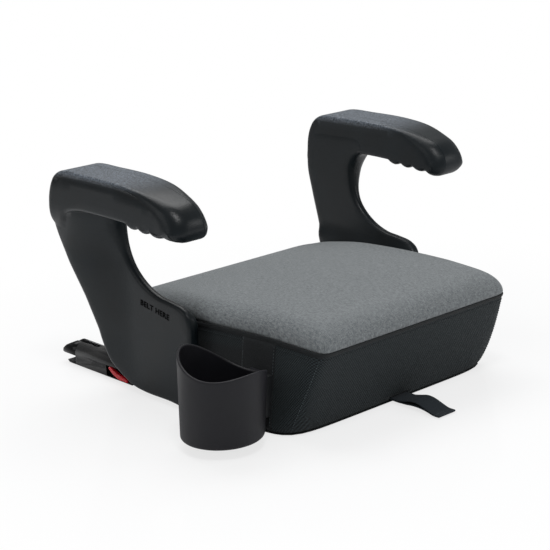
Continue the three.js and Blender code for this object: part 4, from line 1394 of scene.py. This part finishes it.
for word in ("left", "right"):
    packed_name = f"latch_housing_{word}"
    housing = bevelled(packed_name, 0.0, latch_plastic, "latch_plastic")
    boolean(housing, "INTERSECT", housing_form(*mm_box(packed_name)))
    tidy_mesh(housing, merge=0.01)
    housing.data.set_sharp_from_angle(angle=math.radians(38))
    button_low, button_high = mm_box(f"release_button_{word}")
    outline = crescent(button_low.y, button_high.y, button_low.z, button_high.z)
    button = prism_x(f"button_{word}", outline, button_low.x, button_high.x)
    modify(button, "BEVEL", width=0.7 * MM, segments=3, limit_method="ANGLE",
           angle_limit=math.radians(50), use_clamp_overlap=True)
    button.data.materials.clear()
    button.data.materials.append(red_plastic)
    tidy_mesh(button)
    button.data.set_sharp_from_angle(angle=math.radians(40))
    finish(button, "red_plastic", (f"release_button_{word}",))

# %% [markdown]
# ## Adjuster strap
# A length of ribbed webbing, folded double, hangs out of the front and lies on the floor. Pulling it
# draws the carriage in. The two layers part a little where they bend and meet again at the cut end.

# %% Strap
DROOP = [(14, 0), (22, 1.4), (32, 3.2), (41, 2.7), (51, 0.2), (60, -2.3), (68, -2.5)]
LAYER = 1.1
STRAP_Z = 4.9
strap_x, strap_width = (strap_low.x + strap_high.x) / 2, strap_high.x - strap_low.x


def smooth_line(control, steps):
    """An open Catmull-Rom line through (a, b) points."""
    P = [Vector((a, b)) for a, b in control]
    P = [2 * P[0] - P[1]] + P + [2 * P[-1] - P[-2]]
    out = []
    for i in range(1, len(P) - 2):
        for s in range(steps):
            t = s / steps
            out.append(0.5 * ((2 * P[i]) + (P[i + 1] - P[i - 1]) * t + (
                2 * P[i - 1] - 5 * P[i] + 4 * P[i + 1] - P[i + 2]) * t * t + (
                3 * P[i] - P[i - 1] - 3 * P[i + 1] + P[i + 2]) * t ** 3))
    return out + [P[-2]]


def ribbon(name, path, width, thick, x, material):
    """Webbing swept along (y, z) points, with soft edges and a map along it."""
    half, edge = width / 2, thick / 2
    section = [(-half, 0), (-half + 0.25, 0.8 * edge), (-half + 0.8, edge)]
    section += [(-half + 0.8 + (width - 1.6) * t / 6, edge) for t in range(1, 6)]
    section += [(half - 0.8, edge), (half - 0.25, 0.8 * edge), (half, 0)]
    section += [(a, -b) for a, b in section[-2:0:-1]]
    rings, travelled = [], [0.0]
    for i, p in enumerate(path):
        ahead = path[min(i + 1, len(path) - 1)] - path[max(i - 1, 0)]
        normal = Vector((-ahead.y, ahead.x)).normalized()
        rings.append([Vector((x + a, p.x + normal.x * b, p.y + normal.y * b)) for a, b in section])
        if i:
            travelled.append(travelled[-1] + (p - path[i - 1]).length)
    tape = loft(name, rings, material)
    layer = tape.data.uv_layers.new(name="unrolled")
    for loop in tape.data.loops:
        ring, spot = divmod(loop.vertex_index, len(section))
        layer.data[loop.index].uv = (section[spot][0] * MM, travelled[ring] * MM)
    return tape


centre = [Vector((strap_high.y, STRAP_Z)), Vector((-90, STRAP_Z)), Vector((-125, STRAP_Z))]
centre += smooth_line([(-138 - a, STRAP_Z + b) for a, b in DROOP], 6)


def parted(p):
    """How far the two layers stand apart, from nothing at the base's edge to nothing at the tip."""
    share = clamp((-146 - p.x) / 50)
    return math.sin(math.pi * share) ** 2


upper = [p + Vector((0, LAYER / 2 + 0.05 + 0.9 * parted(p))) for p in centre]
lower = [p - Vector((0, LAYER / 2 + 0.05 + 2.2 * parted(p))) for p in centre]
tip = centre[-1]
fold = [tip + Vector((-0.6 * math.sin(a), (LAYER / 2 + 0.05) * math.cos(a)))
        for a in np.linspace(0.35, math.pi - 0.35, 6)]
strap = ribbon("adjuster_webbing", upper + fold + lower[::-1], strap_width, LAYER, strap_x, webbing)
finish(strap, "webbing", ("adjuster_strap",))

# %% [markdown]
# ## Stitches
# A sewing machine lays a thread in short even runs. One row holds the binding and goes right round
# under it, and shorter rows close the corners and the side panels. Every stitch is an instance along a line,
# turned to follow it and varied a little in length, and each row is then made into a plain mesh.

# %% Stitch generator
stitcher = bpy.data.node_groups.new("stitch_row", "GeometryNodeTree")
for label, kind, value in (
        ("Path", "NodeSocketGeometry", None), ("Pitch", "NodeSocketFloat", 0.0034),
        ("Length", "NodeSocketFloat", 0.0024), ("Thickness", "NodeSocketFloat", 0.0006),
        ("Variation", "NodeSocketFloat", 0.12), ("Seed", "NodeSocketInt", 7),
        ("Thread", "NodeSocketMaterial", None)):
    socket = stitcher.interface.new_socket(name=label, in_out="INPUT", socket_type=kind)
    if value is not None:
        socket.default_value = value
stitcher.interface.new_socket(name="Stitches", in_out="OUTPUT", socket_type="NodeSocketGeometry")
given = stitcher.nodes.new("NodeGroupInput").outputs
result = stitcher.nodes.new("NodeGroupOutput")
as_curve = add(stitcher, "GeometryNodeMeshToCurve", {"Mesh": given["Path"]}).outputs["Curve"]
spots = add(stitcher, "GeometryNodeCurveToPoints", {"Curve": as_curve, "Length": given["Pitch"]},
            mode="LENGTH").outputs
one = add(stitcher, "GeometryNodeMeshUVSphere", {"Segments": 8, "Rings": 6, "Radius": 0.5}).outputs["Mesh"]
size = add(stitcher, "ShaderNodeCombineXYZ", {
    0: given["Thickness"], 1: given["Thickness"], 2: given["Length"]}).outputs[0]
shaped = add(stitcher, "GeometryNodeTransform", {"Geometry": one, "Scale": size}).outputs["Geometry"]
low_size = maths(stitcher, "SUBTRACT", 1.0, given["Variation"])
high_size = maths(stitcher, "ADD", 1.0, given["Variation"])
random_size = add(stitcher, "FunctionNodeRandomValue", {
    "Min": low_size, "Max": high_size, "Seed": given["Seed"]}, data_type="FLOAT")
scale = next(s for s in random_size.outputs if s.type == "VALUE" and s.enabled)
placed = add(stitcher, "GeometryNodeInstanceOnPoints", {
    "Points": spots["Points"], "Instance": shaped, "Rotation": spots["Rotation"], "Scale": scale})
real = add(stitcher, "GeometryNodeRealizeInstances", {"Geometry": placed.outputs["Instances"]})
painted = add(stitcher, "GeometryNodeSetMaterial", {
    "Geometry": real.outputs["Geometry"], "Material": given["Thread"]})
stitcher.links.new(painted.outputs["Geometry"], result.inputs["Stitches"])
socket_of = {item.name: item.identifier for item in stitcher.interface.items_tree if item.in_out == "INPUT"}
print("stitch generator with", len(stitcher.nodes), "nodes")


# %% Stitch rows
def stitch_row(name, paths, thread, slot="trim", body="base", closed=False, **settings):
    """One mesh of stitches along lines of points in millimetres."""
    points, edges = [], []
    for path in paths:
        start = len(points)
        points += [tuple(c * MM for c in p) for p in path]
        edges += [(start + i, start + i + 1) for i in range(len(path) - 1)]
        if closed:
            edges.append((len(points) - 1, start))
    data = bpy.data.meshes.new(name)
    data.from_pydata(points, edges, [])
    row = bpy.data.objects.new(name, data)
    bpy.context.scene.collection.objects.link(row)
    modifier = row.modifiers.new("stitches", "NODES")
    modifier.node_group = stitcher
    modifier[socket_of["Thread"]] = thread
    for label, value in settings.items():
        modifier[socket_of[label]] = value
    apply_modifiers(row)
    tidy_mesh(row)
    return finish(row, slot, body=body)


def on_skin(angle, level, out):
    return skin_point(angle, level, -fullness(level) - out)


def on_panel(side, y, level):
    """A point on the face of the side panel."""
    return point_at_y(side, y, level) + Vector((side * (fullness(level) + 0.85), 0, 0))


stitch_row("stitches_binding", [[on_skin(a, 0.945, 0.2) for a in seam_angles]], black_thread, closed=True,
           Pitch=3.6 * MM, Length=2.8 * MM, Thickness=0.8 * MM)
corner_lines = []
for turn in (225, 315, 45, 135):
    corner_lines.append([on_skin(math.radians(turn), level, 0.15) for level in np.linspace(0.07, 0.93, 40)])
stitch_row("stitches_corners", corner_lines, pale_thread, Pitch=3.2 * MM, Length=2.2 * MM,
           Thickness=0.7 * MM, Seed=11)
panel_lines = []
for side in (-1, 1):
    for y, shift in ((PANEL_FRONT, 1.6), (PANEL_REAR, -1.6)):
        panel_lines.append([on_panel(side, y + shift, level) for level in np.linspace(0.08, 0.95, 40)])
stitch_row("stitches_panels", panel_lines, pale_thread, Pitch=3.2 * MM, Length=2.2 * MM,
           Thickness=0.6 * MM, Seed=23)
tip_rows = []
for back in (4.0, 9.0):
    here = centre[-1] + Vector((back, 0.0))
    tip_rows.append([Vector((strap_x + dx, here.x, STRAP_Z - 2.45 + LAYER + 0.1)) for dx in
                     np.linspace(2 - strap_width / 2, strap_width / 2 - 2, 12)])
stitch_row("stitches_strap", tip_rows, pale_thread, "webbing", "carriage", Pitch=2.6 * MM,
           Length=1.9 * MM, Thickness=0.6 * MM, Seed=31)
